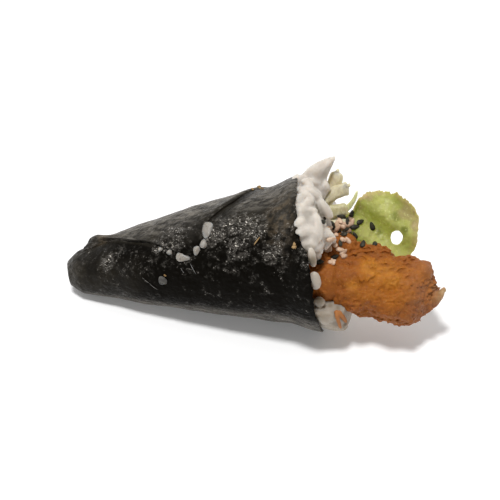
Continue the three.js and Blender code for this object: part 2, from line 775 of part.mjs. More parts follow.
const part = new THREE.Group();

function addPiece(name, solid, material) {
  const { vertProperties, triVerts } = solid.getMesh();
  const geometry = new THREE.BufferGeometry();
  geometry.setAttribute("position", new THREE.BufferAttribute(vertProperties, 3));
  geometry.setIndex(new THREE.BufferAttribute(triVerts, 1));
  const mesh = new THREE.Mesh(geometry, material);
  mesh.name = name;
  part.add(mesh);
}

addPiece("nori_wrapper", nori, looks.nori);
addPiece("rice_heap", rice, looks.rice);
addPiece("fried_fillet", fillet, looks.crust);
addPiece("lettuce_leaf", leaf, looks.lettuce);
addPiece("crust_scrap", crustScrap(0), looks.crust);
for (const [name, solid] of shreds) addPiece(name, solid, looks.shred);

// The origin is the middle of the underside of the whole roll's box.
const box = new THREE.Box3().setFromObject(part);
part.position.set(-(box.min.x + box.max.x) / 2, -(box.min.y + box.max.y) / 2, -box.min.z);

export default part;
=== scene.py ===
"""A temaki hand roll lying on its side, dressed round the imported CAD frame.

A cone of nori is wound round rice. A breaded fillet, a lettuce leaf and pale shreds stand out of
its open end, with sesame where they meet. Shapes are in millimetres and become metres when a mesh
is made. Angles round the roll run in degrees from the viewer's side (0) over the top (90).
"""

import math
import random

import bmesh
import bpy
from mathutils import Matrix, Quaternion, Vector, noise
from mathutils.bvhtree import BVHTree


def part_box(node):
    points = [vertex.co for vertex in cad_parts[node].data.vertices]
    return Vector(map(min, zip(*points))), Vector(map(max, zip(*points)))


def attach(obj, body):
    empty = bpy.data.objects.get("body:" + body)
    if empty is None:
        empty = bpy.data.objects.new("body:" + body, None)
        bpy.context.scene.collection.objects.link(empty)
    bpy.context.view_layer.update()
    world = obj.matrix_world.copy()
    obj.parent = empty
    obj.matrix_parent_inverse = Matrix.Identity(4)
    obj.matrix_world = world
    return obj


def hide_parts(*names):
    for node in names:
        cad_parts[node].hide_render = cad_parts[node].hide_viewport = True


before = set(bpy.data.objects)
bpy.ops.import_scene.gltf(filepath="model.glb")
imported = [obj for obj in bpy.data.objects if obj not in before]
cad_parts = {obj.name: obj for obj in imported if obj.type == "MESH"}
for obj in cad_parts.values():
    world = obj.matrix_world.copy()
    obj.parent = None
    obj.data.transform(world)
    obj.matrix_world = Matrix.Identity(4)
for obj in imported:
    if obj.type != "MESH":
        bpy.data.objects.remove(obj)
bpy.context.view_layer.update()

MM = 0.001
GOLDEN_TURN = 0.618034  # of a full turn, which spreads a row of things evenly


# ---- sizes ----


class Roll:
    """The cone of nori."""

    length = 94.8
    tip_radius = 6.9
    mouth_radius = 27
    flare = 2.2
    flare_start = 0.88
    tip_rounding = 2.2
    rounding_end = 0.055
    tip_slant = 1.2
    crown = 2.5
    wall = 0.8
    flat = 0.6
    slant_angle = 19
    rim_slant = 4.2
    rim_ragged = 0.8
    # How far the rim falls short of its slanting cut, by angle.
    rim_recess = [
        (-30, 0), (-12, 0.6), (28, 0.6), (40, 0.8), (50, 2.6), (76, 2.6), (92, 2), (104, 1.8),
        (114, 1.7), (124, 1.4), (140, 0),
    ]
    recess_start = 0.75
    hollow_start = 0.2
    around = 320
    row_step = 0.42


class TipGroove:
    """The spiral between the windings in the tip's end face."""

    turns = 1.7
    inner_radius = 1
    outer_radius = 3.7
    width = 0.5
    depth = 0.9


class Lap:
    """The sheet's last corner, which laps over the roll. Its edges are (angle, share of length)."""

    thickness = 0.8
    sunk = 0.5
    lower_edge = [
        (47, 0.53), (69, 0.384), (79, 0.3), (98, 0.195), (112, 0.12), (125, 0.092), (292, 0.092),
    ]
    upper_edge = [(47, 0.55), (60, 0.6), (83, 0.636), (97, 0.704), (125, 0.81), (176, 1), (292, 1)]
    sheet = 0.45
    lip = 0.8
    lip_length = 0.03
    lip_angles = (56, 76)
    rolled_angles = (100, 112)
    edge_lift = 0.4
    lift_angles = (66, 84, 145, 165)
    merge_angles = (190, 285)
    merge_depth = 1.3
    fold_height = 2.1
    fold_length = 0.09
    fold_angles = (92, 118, 175, 215)
    angle_step = 1.2
    columns = 110


class Wet:
    """Where the sheet is wet and crumpled, with painted sheen and painted glints there: a thin
    film, and spots.
    """

    film = 0.16
    film_angles = (15, 35, 70, 84)
    film_start = (0.08, 0.16)
    # Share of the length, angle, radius in millimetres, strength.
    spots = [
        (0.69, 68, 6.5, 1), (0.775, 70, 5.5, 1), (0.84, 66, 5.5, 1), (0.765, 49, 5.5, 1),
        (0.9, 41, 5, 0.9), (0.93, 52, 3.6, 0.7), (0.5, 66, 6.5, 0.75), (0.43, 64, 4, 0.5),
        (0.208, 53, 3.6, 1), (0.3, 55, 4, 0.35), (0.56, 33, 5, 0.35), (0.2, 30, 4, 0.3),
    ]


class DustAndSheen:
    """Where the sheet is dry and dusty, with painted sheen and a painted floor reflection: how
    much, and over which angles and shares of it.
    """

    lap_least = 0.3
    lap_angles = (64, 106)
    lap_edge = 0.62  # how much less there is along the lap's upper edge
    lap_edge_angles = (96, 112)
    # Painted sheen along the crest, where the sheet turns away at the top.
    crest = 0.8
    crest_angles = (72, 96)
    crest_start = (0.68, 0.76)
    # A painted reflection of the floor along the bottom.
    bottom = 0.85
    bottom_angles = (10, 34)
    tip = 0.3
    tip_end = (0.02, 0.14)
    rim = 0.45
    far_side = 0.55  # how much less there is on the far side
    wet = 0.4  # how much less there is where the sheet is wet


class Crinkle:
    """The sheet's relief, in millimetres, with an offset that sets one noise apart from another."""

    dents = ((0.42, 13, 2), (0.2, 6, 7))  # height, size, offset
    # Level, size, offset, and the height where the sheet is dry and where it is wet.
    wrinkles = ((0.35, 3.4, 13, 0.16, 0.85), (0.3, 1.8, 5, 0.08, 0.4))
    deepest = -0.85


class Underlap:
    """The winding below the lap, whose end shows as a second step near the tip."""

    start = 0.082
    end = 0.17
    angles = (96, 205)
    edge_angles = (96, 115)
    thickness = 1.3
    rows = 60
    columns = 16


class Heap:
    """The rice."""

    reach = 12
    thin_reach = -6
    low_reach = 15.2
    # Four angles say where a stretch begins, is full, starts to end, and has ended.
    low_angles = (-75, -58, -24, -8)
    thin_angles = (-20, -6, 26, 56)
    top_reach = 9.2
    top_angles = (55, 75, 125, 150)
    squareness = 2.8
    past_rim = 0.35
    free = 1.02  # the share of the roll's length past which nothing is tucked in
    spill = 0.5
    peak_spill = 2.6
    peak_angle = 122
    peak_spread = 26
    low_spill = 2.4
    low_angle = -48
    low_spread = 22
    gap = 1.4
    core_depth = 0.85
    bare_angles = (-80, -66, -20, -6)  # the smooth lobe, which has no loose grains on it
    bare_depth = -0.5
    # Hollows that no loose grain fills are (pixel, radius). Cracks with painted shade in them, and
    # browned spots, some of them painted shade beside the rim, are (pixel, radius, strength).
    hollows = [
        ((318, 208), 2), ((322.5, 218), 2.4), ((307.5, 217), 1.6), ((331, 247), 2.6),
        ((326, 253), 2),
    ]
    crack_shades = [
        ((307.5, 217), 1.7, 0.5), ((310.3, 214.5), 1, 0.6), ((316.4, 205.5), 1, 1),
        ((317.2, 208.5), 1.2, 1), ((318.6, 211.5), 1.3, 1), ((320.8, 215), 1.4, 0.9),
        ((307, 246), 1.4, 0.5), ((310, 262), 1.4, 0.7),
    ]
    brown_spots = [
        ((319, 300), 3.4, 1), ((330, 305), 2.2, 0.9), ((338, 308), 1.8, 0.9),
        ((347, 316), 2.2, 0.8), ((312, 261), 2.6, 1), ((306, 252), 2, 0.4),
    ]
    grain_length = 7.8
    grain_width = 3.5
    grains = 180
    lift = (-1.75, -1.15)  # how far the loose grains' middles stand from the heap's face
    lowest = 2.1
    shoulder_grains = 0.42  # the share of them that lie on its shoulder
    shoulder_end = 0.3
    # A laid grain whose two ends are seen farther apart than this gets the other length.
    longest = 14
    usual = 10
    voxel = 0.42
    smoothing = 8
    # How much painted shade, in a brown tone, there is low down, by height, and on the viewer's
    # side, by how near and by height.
    low_shade = 0.62
    low_heights = (25, 33)
    side_shade = 0.4
    side_places = (17, 20)
    side_heights = (42, 47)


class Fillet:
    """The breaded fillet, which leans with its broad face towards the viewer.

    Its pale spots, and its golden spots that carry painted light, are (pixel, radius, strength).
    """

    root = Vector((54, 2, 18))
    bend = Vector((100, -14, 31))
    end = Vector((138.4, -12, 18.5))
    half_width = 12.6
    shoulder = 1.5  # its upper rim bulges, most at shoulder_middle of its length
    shoulder_middle = 0.72
    shoulder_spread = 0.12
    half_thickness = 8.6
    lean = 30
    end_slant = 3.4
    end_slant_middle = 0.1
    rim_share = 0.47
    crag = 1.25
    crags = ((1.5, 6.5, 5), (0.9, 2.9, 11))  # height, size, offset
    root_share = 0.45  # of its full width and thickness, at its root
    end_rounding = (0.87, 1.03)
    inset = -1.35
    flakes = 2100
    small_flakes = 0.45  # the share of them
    small_flake = (0.4, 0.7)
    large_flake = (0.75, 1.35)
    pale_spots = [((443, 291), 2.6, 1), ((440, 298), 2.4, 0.6)]
    gold_and_lit_spots = [
        ((372, 268), 4.5, 1), ((391, 279), 4, 0.8), ((353, 286), 3.2, 0.7), ((380, 272), 6, 0.6),
    ]
    # The curled point of crust at the far end: its path from there, its widths and thickness.
    spur = ((-3.4, 0, -1), (1.2, 0, -0.5), (3.1, 1, 4.5))
    spur_width = 8
    spur_tip = 1.2
    spur_thickness = 5.5
    spur_crumbs = 110
    knob_crumbs = 70
    voxel = 0.3
    smoothing = 4


class Leaf:
    """The lettuce leaf, a wavy blade with a tail that runs back into the rice.

    Its spots of painted shade and its brown spots are (pixel, radius, strength).
    """

    centre = Vector((118.9, 10.5, 33.4))
    tail_drop = 5
    half_width = 12.5
    rise = 12.2
    drop = 15.5
    tail = 34
    tail_half_width = 4
    left_fullness = 2.8  # how square its outline is, from 2 (round) up
    right_fullness = 2
    low_right_fullness = 2.7
    thickness = 0.9
    corner = -8  # how far across its top left corner stands
    corner_rise = 0.8
    corner_half_width = 1.7
    wave = 1.3
    fine_wave = 0.8
    crisp = 0.25
    ragged = 1
    nick = 0.6
    fine_nick = 0.25
    sway = 0.35
    lean = 62
    hole_across = 4.6
    hole_down = 4.4
    hole_half_width = 2.2
    hole_half_height = 2.9
    rows = 210
    columns = 110
    shade_spots = [
        ((404.5, 230), 2, 1), ((397, 216), 3, 1), ((379, 232), 2.6, 0.7), ((386, 242), 3, 0.5),
        ((408, 254), 3, 0.4),
    ]
    brown_spots = [
        ((410, 211), 3.4, 1.4), ((403, 214), 2.8, 0.9), ((416, 226), 2.4, 1.1),
        ((368, 196), 2.6, 0.8), ((406, 202), 2.6, 0.7), ((359, 207), 2.6, 0.6),
    ]


# Each pale shred: its path from inside the rice, then width, width at its tip, and thickness.
SHREDS = {
    "shred_tall": ([(94, 11, 36), (98.8, 12.6, 43), (100, 15.6, 52.4)], 4.6, 5, 2.4),
    "shred_fork": ([(94.9, 8.6, 42.6), (99.6, 11, 46.8), (104.7, 12.3, 47.6)], 4.6, 5, 2.2),
    "shred_curl": ([(97, 6.8, 37.5), (106.6, 8.8, 39.6), (107.8, 12.2, 46.8)], 3.4, 0.9, 1.4),
    "shred_broad": ([(91, 4.4, 39), (99, 5, 41.8), (105, 6.6, 42.6)], 5.6, 4.4, 1.8),
    "shred_low": ([(90, 1, 34.5), (98, 2.4, 37.8), (105.6, 3.4, 38)], 5, 4, 2.2),
}
# Shorter prongs that branch off a shred, in the same way.
PRONGS = {
    "shred_tall": [([(99.7, 15.2, 51), (100, 15.6, 52.2), (100.3, 15.7, 53.2)], 2, 1, 1.4)],
    "shred_fork": [
        ([(102.6, 12, 47.9), (104, 12.3, 48.8), (105.2, 12.5, 49)], 1.9, 1.1, 1.4),
        ([(102.6, 11.8, 46.7), (103.5, 12, 46.2), (104.3, 12.1, 45.7)], 1.9, 1.1, 1.4),
    ],
}
# The peak of the rice: a mass that rises to a point, and grains on it. Each has its path as pixels
# with how far back they lie (y in millimetres), then width, width at its tip, and thickness.
RICE_PEAK = [
    ([(309, 194, 10.5), (319, 172, 13.5), (335.5, 156.5, 15.5)], 10.5, 1.2, 5.5),
    ([(303, 190, 11), (304.5, 170.5, 12.5), (334.5, 157, 15)], 7, 1.2, 5),
    ([(313, 186, 10.5), (321, 174, 13), (331, 163, 14.5)], 4.4, 2.4, 4.4),
    ([(308, 190, 10), (315, 171, 11.8), (332.5, 159.5, 14.6)], 8.5, 1.8, 5.5),
    ([(318, 196, 9), (324, 186, 10.5), (329, 184, 11)], 5.4, 4, 4.4),
]
# Rice squeezed out from under the lap: share of the length, angle, length, width, turn.
BEADS = [
    (0.622, 70, 6.6, 4.2, 75),
    (0.604, 57, 3.4, 2.4, 60),
    (0.572, 51, 3.6, 2.6, 70),
    (0.52, 46, 5.6, 3.2, -15),
    (0.462, 53, 2.2, 1.8, 0),
    (0.43, 58, 1.8, 1.4, 0),
    (0.416, 20, 3.6, 3.2, 40),
]
BEAD_THICKNESS = 1.5
# Dried threads of starch and one of crust on the sheet, each with both ends as pixels.
STARCH_THREADS = [
    ((149, 283), (158, 290)), ((143, 278), (149, 283)), ((190, 263), (196, 274)),
    ((181, 268), (184, 273)),
]
CRUST_THREADS = [((260, 237), (254, 245))]


class Scrap:
    """The forked crumb of crust in the rice below the fillet."""

    # Each leg has three places along it as pixels, then its width and its width at its tip.
    legs = [
        ((336.2, 310.5), (337.6, 318.5), (340.4, 327.5), 1.8, 1),
        ((337, 312), (341.5, 316), (345.6, 321.5), 2.3, 1.2),
    ]
    thickness = 1.5
    crumbs = 26
    crumb = (0.25, 0.5)
    voxel = 0.16


SEED_LENGTH = 3.3
SEED_WIDTH = 1.8
SEED_THICKNESS = 1.1


class Sight:
    """The camera: where it looks from, in degrees and millimetres, and its frame in pixels."""

    azimuth = 7
    elevation = 40
    distance = 450
    lens = 87.5
    sensor = 36
    target = Vector((70, 0, 25))
    pixels = 500


class Studio:
    """The light: a bright room with a dark side behind the camera, and one soft lamp overhead.

    Its sizes and places are in metres.
    """

    dark_side = Vector((0.1, -0.78, 0.62))
    dark_spread = (0.15, 0.8)  # cosines between which the room fades from bright to dark
    bright = 0.85
    dark = 0.06
    lamp = (-0.08, -0.2, 0.9)
    lamp_aim = (0.02, 0, 0.02)
    lamp_size = 0.17
    lamp_power = 6.8
    floor_glow = 0.15
    floor_half = 3
    floor_level = -0.0002


# Where seeds lie, as pixels of the camera's frame. Each is set on what the camera sees there.
BLACK_SEEDS = [
    (352, 214), (341, 216), (347, 221), (360, 222), (372, 226), (346, 229), (355, 227), (355, 235),
    (350, 233), (333, 225), (324, 218), (340, 243), (335, 257), (320, 262), (363, 244), (375, 244),
    (344, 218), (339, 231), (343, 235), (351, 226), (323, 222),
]
TAN_SEEDS = [
    (337, 224), (340, 221), (334, 231), (338, 227), (334, 244), (330, 247), (332, 262), (343, 252),
    (344, 256), (340, 250), (350, 218), (342, 226), (331, 239), (336, 235), (346, 224), (329, 228),
    (328, 250), (333, 262), (348, 240), (343, 240), (352, 222), (349, 229),
]
# Lumps of the crust: the middle as a pixel, how far back it lies (y in millimetres), length, width
# and thickness.
CRUST_KNOBS = [
    ((344, 246), -2.5, 10, 9, 8),
    ((334, 247), -4.5, 10, 9, 8),
    ((333, 262), -6, 9, 8, 7),
    ((318, 282), -16, 14, 9, 9),
    ((325, 276), -14, 18, 12, 11),
    ((423, 272), -8, 8, 6, 8),
    ((321, 266), -11, 12, 9, 9),
]
# Crumbs of crust on the sheet: the pixel and the size.
NORI_CRUMBS = [
    ((295, 246), 2.9), ((259, 187.5), 1.8), ((253, 187), 1.4), ((263, 189), 1.2),
    ((165, 275.5), 1.1),
]

# Single grains that stand out: both ends as pixels, then how far they lie proud, and their width.
MARKED_GRAINS = [
    ((305, 181), (322, 176), 0.6, 4),
    ((316, 190), (328, 184), 1.2, 4.4),
    ((301, 192), (314, 196), 0.6, 4.2),
    ((299, 216), (304, 204), 0.6, 4.2),
    ((299, 228), (310, 234), 0.7, 4.4),
    ((313.5, 214), (317, 239), 1.3, 4.4),
    ((315.5, 238), (329.5, 229.5), 1.3, 4.6),
    ((309.5, 249), (322, 243), 1, 3.8),
    ((315, 248), (317, 259), 1, 3.4),
    ((317, 313), (330, 323), -1, 5),
    ((316.5, 306), (319, 322), -0.9, 5),
    ((327, 322), (342, 330), -1, 5),
    ((324, 309), (336, 317), -1.1, 4.4),
]
# Grains that lie over the sheet's rim, in the same way.
SPILT_GRAINS = [
    ((293.5, 181.5), (300, 176.5), 0.2, 3.6),
    ((297.5, 181.5), (306, 174), 0.5, 4),
    ((298.5, 195), (297.5, 204), 0, 4.2),
    ((297.8, 204.5), (298.6, 214), 0, 4.2),
    ((299, 214), (299.5, 223.5), 0, 4.4),
    ((295.5, 227), (303, 219), 0.1, 4.4),
    ((295.5, 230), (304, 235.5), 0.1, 4.4),
    ((299.5, 230.5), (303.5, 239.5), 0, 4.4),
    ((306.5, 241.5), (309, 252), -0.1, 4),
    ((309, 251), (312, 262), 0.8, 3.6),
    ((311.5, 259), (314, 270), 0.8, 3.4),
]
# Grains on their own: both ends as pixels with how far back they lie (y in millimetres), then
# width, thickness, and how far the middle bows out.
LONE_GRAINS = [
    ((315.5, 196, 1.8), (332.3, 219, -2.2), 3.9, 3.4, 0.6),
    ((313.6, 271.5, -24.2), (316.4, 289.5, -25.6), 4.4, 3.2, 0.4),
    ((310.5, 247, -21.4), (314, 267.5, -23), 3, 2.2, 0.3),
    ((315, 298, -24.2), (323.5, 306, -24), 4.4, 1.6, 0.1),
    ((346.5, 320, -21), (340.5, 330, -21.6), 3.4, 3, 0.4),
]


# ---- numbers ----


def lerp(a, b, share):
    return a + (b - a) * share


def smooth(x, low, high):
    """0 up to low and 1 from high on, with a soft step between."""
    share = min(1, max(0, (x - low) / (high - low)))
    return share * share * (3 - 2 * share)


def window(x, start, full, drop, end):
    """1 between full and drop, falling softly to 0 at start and at end."""
    return smooth(x, start, full) * (1 - smooth(x, drop, end))


def lumps(point, size, offset):
    """Perlin noise of a point, from -1 to 1, with lumps about as large as size."""
    return noise.noise(point / size + Vector((offset, offset, offset)))


def wobble(x, y, z):
    """Perlin noise at three numbers, from -1 to 1."""
    return noise.noise(Vector((x, y, z)))


def relief(layers, point):
    """The noise at a point of all (height, size, offset) layers."""
    return sum(height * lumps(point, size, offset) for height, size, offset in layers)


def bell(x, middle, spread):
    """1 at the middle, and less on either side."""
    return math.exp(-(((x - middle) / spread) ** 2))


def height_at(entries, x):
    """The height at x of the broken line through (x, height) entries."""
    if x <= entries[0][0]:
        return entries[0][1]
    for (x0, y0), (x1, y1) in zip(entries, entries[1:]):
        if x <= x1:
            return lerp(y0, y1, (x - x0) / (x1 - x0))
    return entries[-1][1]


def turns(count):
    """The angles of a full turn in degrees."""
    return [360 * i / count for i in range(count)]


def cos_sin(angle):
    """The cosine and sine of an angle in degrees."""
    turn = math.radians(angle)
    return math.cos(turn), math.sin(turn)


def signed(angle):
    """An angle in degrees, brought between -180 and 180."""
    return (angle + 180) % 360 - 180


def scattered(rng, most):
    """A vector with each part drawn between -most and most."""
    return Vector([rng.uniform(-most, most) for _ in range(3)])


def rings_of(point_at, shares, count, depth):
    """Rings of points round a body, at shares of its length and a depth."""
    return [[point_at(share, angle, depth) for angle in turns(count)] for share in shares]


# ---- points and faces ----


class Shape:
    """Points in millimetres, and faces as tuples of their indices."""

    def __init__(self, points=(), faces=()):
        self.points = list(points)
        self.faces = list(faces)

    def add(self, other):
        first = len(self.points)
        self.points += other.points
        self.faces += [tuple(first + i for i in face) for face in other.faces]
        return self


def loft(rings):
    """A closed solid through rings of points, each end shut by a fan round its middle."""
    around = len(rings[0])
    shape = Shape([p for ring in rings for p in ring])
    for i in range(len(rings) - 1):
        for j in range(around):
            a, b = i * around + j, i * around + (j + 1) % around
            shape.faces.append((a, a + around, b + around, b))
    for end in (0, len(rings) - 1):
        middle = sum(rings[end], Vector()) / around
        shape.points.append(middle)
        last = len(shape.points) - 1
        for j in range(around):
            edge = (end * around + j, end * around + (j + 1) % around)
            shape.faces.append((*(edge if end == 0 else edge[::-1]), last))
    return shape


def slab(front, back):
    """A closed thin solid between two grids of points."""
    rows, columns = len(front), len(front[0])
    under = rows * columns
    shape = Shape([p for grid in (front, back) for row in grid for p in row])
    for i in range(rows - 1):
        for j in range(columns - 1):
            a, c = i * columns + j, (i + 1) * columns + j
            shape.faces.append((a, a + 1, c + 1, c))
            shape.faces.append((under + a, under + c, under + c + 1, under + a + 1))
    rim = list(range(columns - 1))
    rim += [i * columns + columns - 1 for i in range(rows - 1)]
    rim += [(rows - 1) * columns + j for j in range(columns - 1, 0, -1)]
    rim += [i * columns for i in range(rows - 1, 0, -1)]
    for a, b in zip(rim, rim[1:] + rim[:1]):
        shape.faces.append((a, under + a, under + b, b))
    return shape


def frame_of(axis, up):
    """Two directions across an axis, the second as near to up as it can be."""
    across = up.cross(axis).normalized()
    return across, axis.cross(across).normalized()


def pod(
    centre, axis, up, length, width, thickness, rings, around,
    taper=0.0, bend=0.0, uneven=0.0, seed=0.0,
):
    """A rounded grain. taper narrows one end, bend bows its middle, uneven makes it lumpy."""
    across, out = frame_of(axis, up)
    made = []
    for i in range(rings):
        share = -math.cos(math.pi * (i + 0.35) / (rings - 0.3))
        full = math.sqrt(max(0, 1 - abs(share) ** 2.4)) * (1 - taper * share)
        middle = centre + axis * (share * length / 2) + out * (bend * (1 - share * share))
        ring = []
        for angle in turns(around):
            side, rise = cos_sin(angle)
            reach = full * (1 + uneven * wobble(share * 1.6 + seed, side * 1.2, rise * 1.2)) / 2
            ring.append(middle + across * (side * width * reach) + out * (rise * thickness * reach))
        made.append(ring)
    return loft(made)


def pod_between(a, b, up, width, thickness, rings, around, bend):
    """A rounded grain from one place to another."""
    axis = (b - a).normalized()
    return pod((a + b) / 2, axis, up, (b - a).length, width, thickness, rings, around, 0, bend)


def chunk(centre, out, size, flatness, rng):
    """A jagged crumb: an uneven octahedron-like body, flat across out."""
    turn = Quaternion(out, rng.uniform(0, math.tau))
    across, along = frame_of(out, Vector((0.31, 0.87, 0.38)))
    across, along = turn @ across, turn @ along
    stretch = rng.uniform(1, 1.9)
    rings = []
    for height, share in ((-0.8, 0.55), (0.1, 1), (0.75, 0.6)):
        ring = []
        for angle in turns(6):
            turned, rise = cos_sin(angle)
            reach = share * size * rng.uniform(0.65, 1.2)
            side = across * (turned * reach * stretch) + along * (rise * reach)
            ring.append(centre + side + out * (height * flatness * size * rng.uniform(0.7, 1.3)))
        rings.append(ring)
    return loft(rings)


def curve_point(path, share):
    """A point of the quadratic curve whose end, bend and end are given."""
    a, b, c = (Vector(p) for p in path)
    return a * (1 - share) ** 2 + b * (2 * share * (1 - share)) + c * share**2


def strip(path, width, tip, thickness, ridges=0.0, seed=0.0):
    """A tapering strip along a path, rounded at its ends, with ridges that run along it."""
    steps, around = 26, 20
    rings = []
    for i in range(steps):
        share = i / (steps - 1)
        centre = curve_point(path, share)
        along = (curve_point(path, share + 0.01) - curve_point(path, share - 0.01)).normalized()
        across = along.cross(LEAF_OUT).normalized()
        out = across.cross(along).normalized()
        end = min(share, 1 - share) * (steps - 1) / 3
        rounding = math.sqrt(1 - (1 - min(1, end)) ** 2) * 0.75 + 0.25
        half = lerp(width, tip, share) / 2
        ring = []
        for angle in turns(around):
            side, rise = cos_sin(angle)
            uneven = 1 + 0.16 * wobble(share * 5 + seed, side * 1.5, rise * 1.5)
            broad = math.cos(math.radians(angle * 6))
            narrow = math.cos(math.radians(angle * 9) + seed)
            reach = rounding * uneven * (1 + ridges * broad + ridges * 0.7 * narrow)
            off = across * (side * half * reach) + out * (rise * thickness / 2 * reach)
            ring.append(centre + off)
        rings.append(ring)
    return loft(rings)


# ---- the cone of nori ----

TILT = math.atan((Roll.mouth_radius - Roll.tip_radius) / Roll.length)
REST_HEIGHT = Roll.tip_radius * math.cos(TILT) - Roll.flat


def tilted(along, side, rise):
    """From the roll's own frame (along its axis, sideways, up from its axis) to the part's."""
    cos, sin = math.cos(TILT), math.sin(TILT)
    return Vector((along * cos - rise * sin, side, along * sin + rise * cos + REST_HEIGHT))


def off_axis(along, radius, angle):
    """The point at a radius and an angle round the roll's axis."""
    side, rise = cos_sin(angle)
    return tilted(along, -radius * side, radius * rise)


def roll_out(angle):
    """The direction out of the roll at an angle."""
    side, rise = cos_sin(angle)
    return Vector((-rise * math.sin(TILT), -side, rise * math.cos(TILT)))


def roll_radius(t, angle):
    rounding = Roll.tip_rounding * max(0, 1 - t / Roll.rounding_end) ** 1.3
    cone = lerp(Roll.tip_radius, Roll.mouth_radius, t) - rounding
    clear_of_floor = math.sqrt(0.5 + 0.5 * math.sin(math.radians(angle)))
    crown = Roll.crown * 4 * t * (1 - t) * clear_of_floor
    flare = Roll.flare * smooth(t, Roll.flare_start, 1) * smooth(clear_of_floor, 0.1, 0.4)
    return cone + crown + flare


def cut_slant(angle):
    return math.cos(math.radians(angle - Roll.slant_angle))


def along_roll(t, angle):
    """How far along the axis a place lies, with the slant and the ragged cut of both ends."""
    around = Vector((*cos_sin(angle), 0.7))
    scales = ((1, 5), (0.5, 17), (0.4, 41))
    ragged = sum(share * noise.noise(around * scale) for share, scale in scales)
    recess = height_at(Roll.rim_recess, signed(angle)) * smooth(t, Roll.recess_start, 1)
    rim = Roll.length + Roll.rim_slant * cut_slant(angle) + Roll.rim_ragged * ragged
    return lerp(Roll.tip_slant * cut_slant(angle), rim, t) - recess


def roll_point(t, angle, depth):
    """A point of the roll: t runs from the tip to the rim, depth is measured in from outside."""
    point = off_axis(along_roll(t, angle), roll_radius(t, angle) - depth, angle)
    point.z = max(point.z, depth, 0)
    return point


def roll_place(point):
    """The share of the roll's length beside a point, and the angle round the roll in degrees."""
    rise = point.z - REST_HEIGHT
    along = point.x * math.cos(TILT) + rise * math.sin(TILT)
    up = rise * math.cos(TILT) - point.x * math.sin(TILT)
    return along / Roll.length, math.degrees(math.atan2(up, -point.y))


def wetness(t, angle):
    """How wet the sheet is at a place of the roll, from 0 to 1."""
    most = Wet.film * window(angle, *Wet.film_angles) * smooth(t, *Wet.film_start)
    for spot_t, spot_angle, radius, strength in Wet.spots:
        side = math.radians(angle - spot_angle) * lerp(Roll.tip_radius, Roll.mouth_radius, spot_t)
        away = math.hypot((t - spot_t) * Roll.length, side)
        most = max(most, strength * (1 - smooth(away, 0.35 * radius, 1.25 * radius)))
    return most


def crinkle(point, wet):
    """How far the sheet stands out or in at a point, by its dents and wrinkles."""
    height = relief(Crinkle.dents, point)
    for level, size, offset, dry_height, wet_height in Crinkle.wrinkles:
        height += (level - abs(lumps(point, size, offset))) * lerp(dry_height, wet_height, wet)
    return max(Crinkle.deepest, height)


def nori_point(t, angle, depth):
    smooth_point = roll_point(t, angle, depth)
    point = smooth_point + roll_out(angle) * crinkle(smooth_point, wetness(t, angle))
    lift = min(1, smooth_point.z / 2)
    point = smooth_point.lerp(point, lift)
    point.z = max(point.z, depth, 0)
    return point


def groove_depth(radius, angle):
    """How deep the tip's end face is cut at a radius and angle, by the spiral groove."""
    pitch = (TipGroove.outer_radius - TipGroove.inner_radius) / TipGroove.turns
    turned = (radius - TipGroove.inner_radius) / pitch - angle / 360
    if not -0.2 < radius - TipGroove.inner_radius < TipGroove.turns * pitch:
        return 0
    off = abs(turned - round(turned)) * pitch
    return TipGroove.depth * (1 - smooth(off, 0.3 * TipGroove.width, TipGroove.width))


def tip_face_ring(share):
    ring = []
    for angle in turns(Roll.around):
        side, rise = cos_sin(angle)
        radius = roll_radius(0, angle) * share
        along = Roll.tip_slant * cut_slant(angle) * share + groove_depth(radius, angle)
        point = off_axis(along + 0.15 * wobble(radius * side, radius * rise, 3), radius, angle)
        point.z = max(point.z, 0)
        ring.append(point)
    return ring


def nori_cone():
    rows = round(Roll.length / Roll.row_step)
    outer = [i / rows for i in range(rows + 1)]
    inner = [1, 0.985, 0.97, 0.95, 0.92, 0.88, 0.8, 0.6, 0.4, Roll.hollow_start]
    face = [tip_face_ring(share) for share in (0.06, 0.16, *(0.25 + 0.06 * i for i in range(12)))]
    sides = ((outer, 0), ([1.004], Roll.wall / 2), (inner, Roll.wall))
    for shares, depth in sides:
        face += rings_of(nori_point, shares, Roll.around, depth)
    return loft(face)


def lap_height(t, start, end, angle):
    """How far the lap stands proud of the winding below it."""
    merge = smooth(angle, *Lap.merge_angles)
    unrolled = 1 - smooth(angle, *Lap.rolled_angles)
    fold = 1 - smooth(t, start + 0.3 * Lap.fold_length, start + Lap.fold_length)
    fold *= window(angle, *Lap.fold_angles)
    lift = smooth(t, end - 0.09, end) * window(angle, *Lap.lift_angles)
    lip = (1 - smooth(t, start, start + Lap.lip_length)) * smooth(angle, *Lap.lip_angles)
    lip *= (1 - smooth(angle, *Lap.fold_angles[2:])) * unrolled
    rolled = 0.45 + 0.55 * smooth(t, start, start + 0.016) ** 0.7
    rounded = lerp(rolled, 1, unrolled) * (1 - 0.6 * smooth(t, end - 0.014, end))
    flat = Lap.thickness * (1 - Lap.merge_depth * merge)
    return (flat + Lap.fold_height * fold + Lap.edge_lift * lift + Lap.lip * lip) * rounded


def lap_underside(t, start, angle, height):
    """How high the lap's underside stands: open below its loose lip, and sunk in elsewhere."""
    loose = 1 - smooth(t, start, start + 0.7 * Lap.lip_length)
    loose *= 1 - smooth(angle, *Lap.rolled_angles)
    return lerp(-Lap.sunk, max(0.05, height - Lap.sheet), loose * smooth(angle, 50, 60))


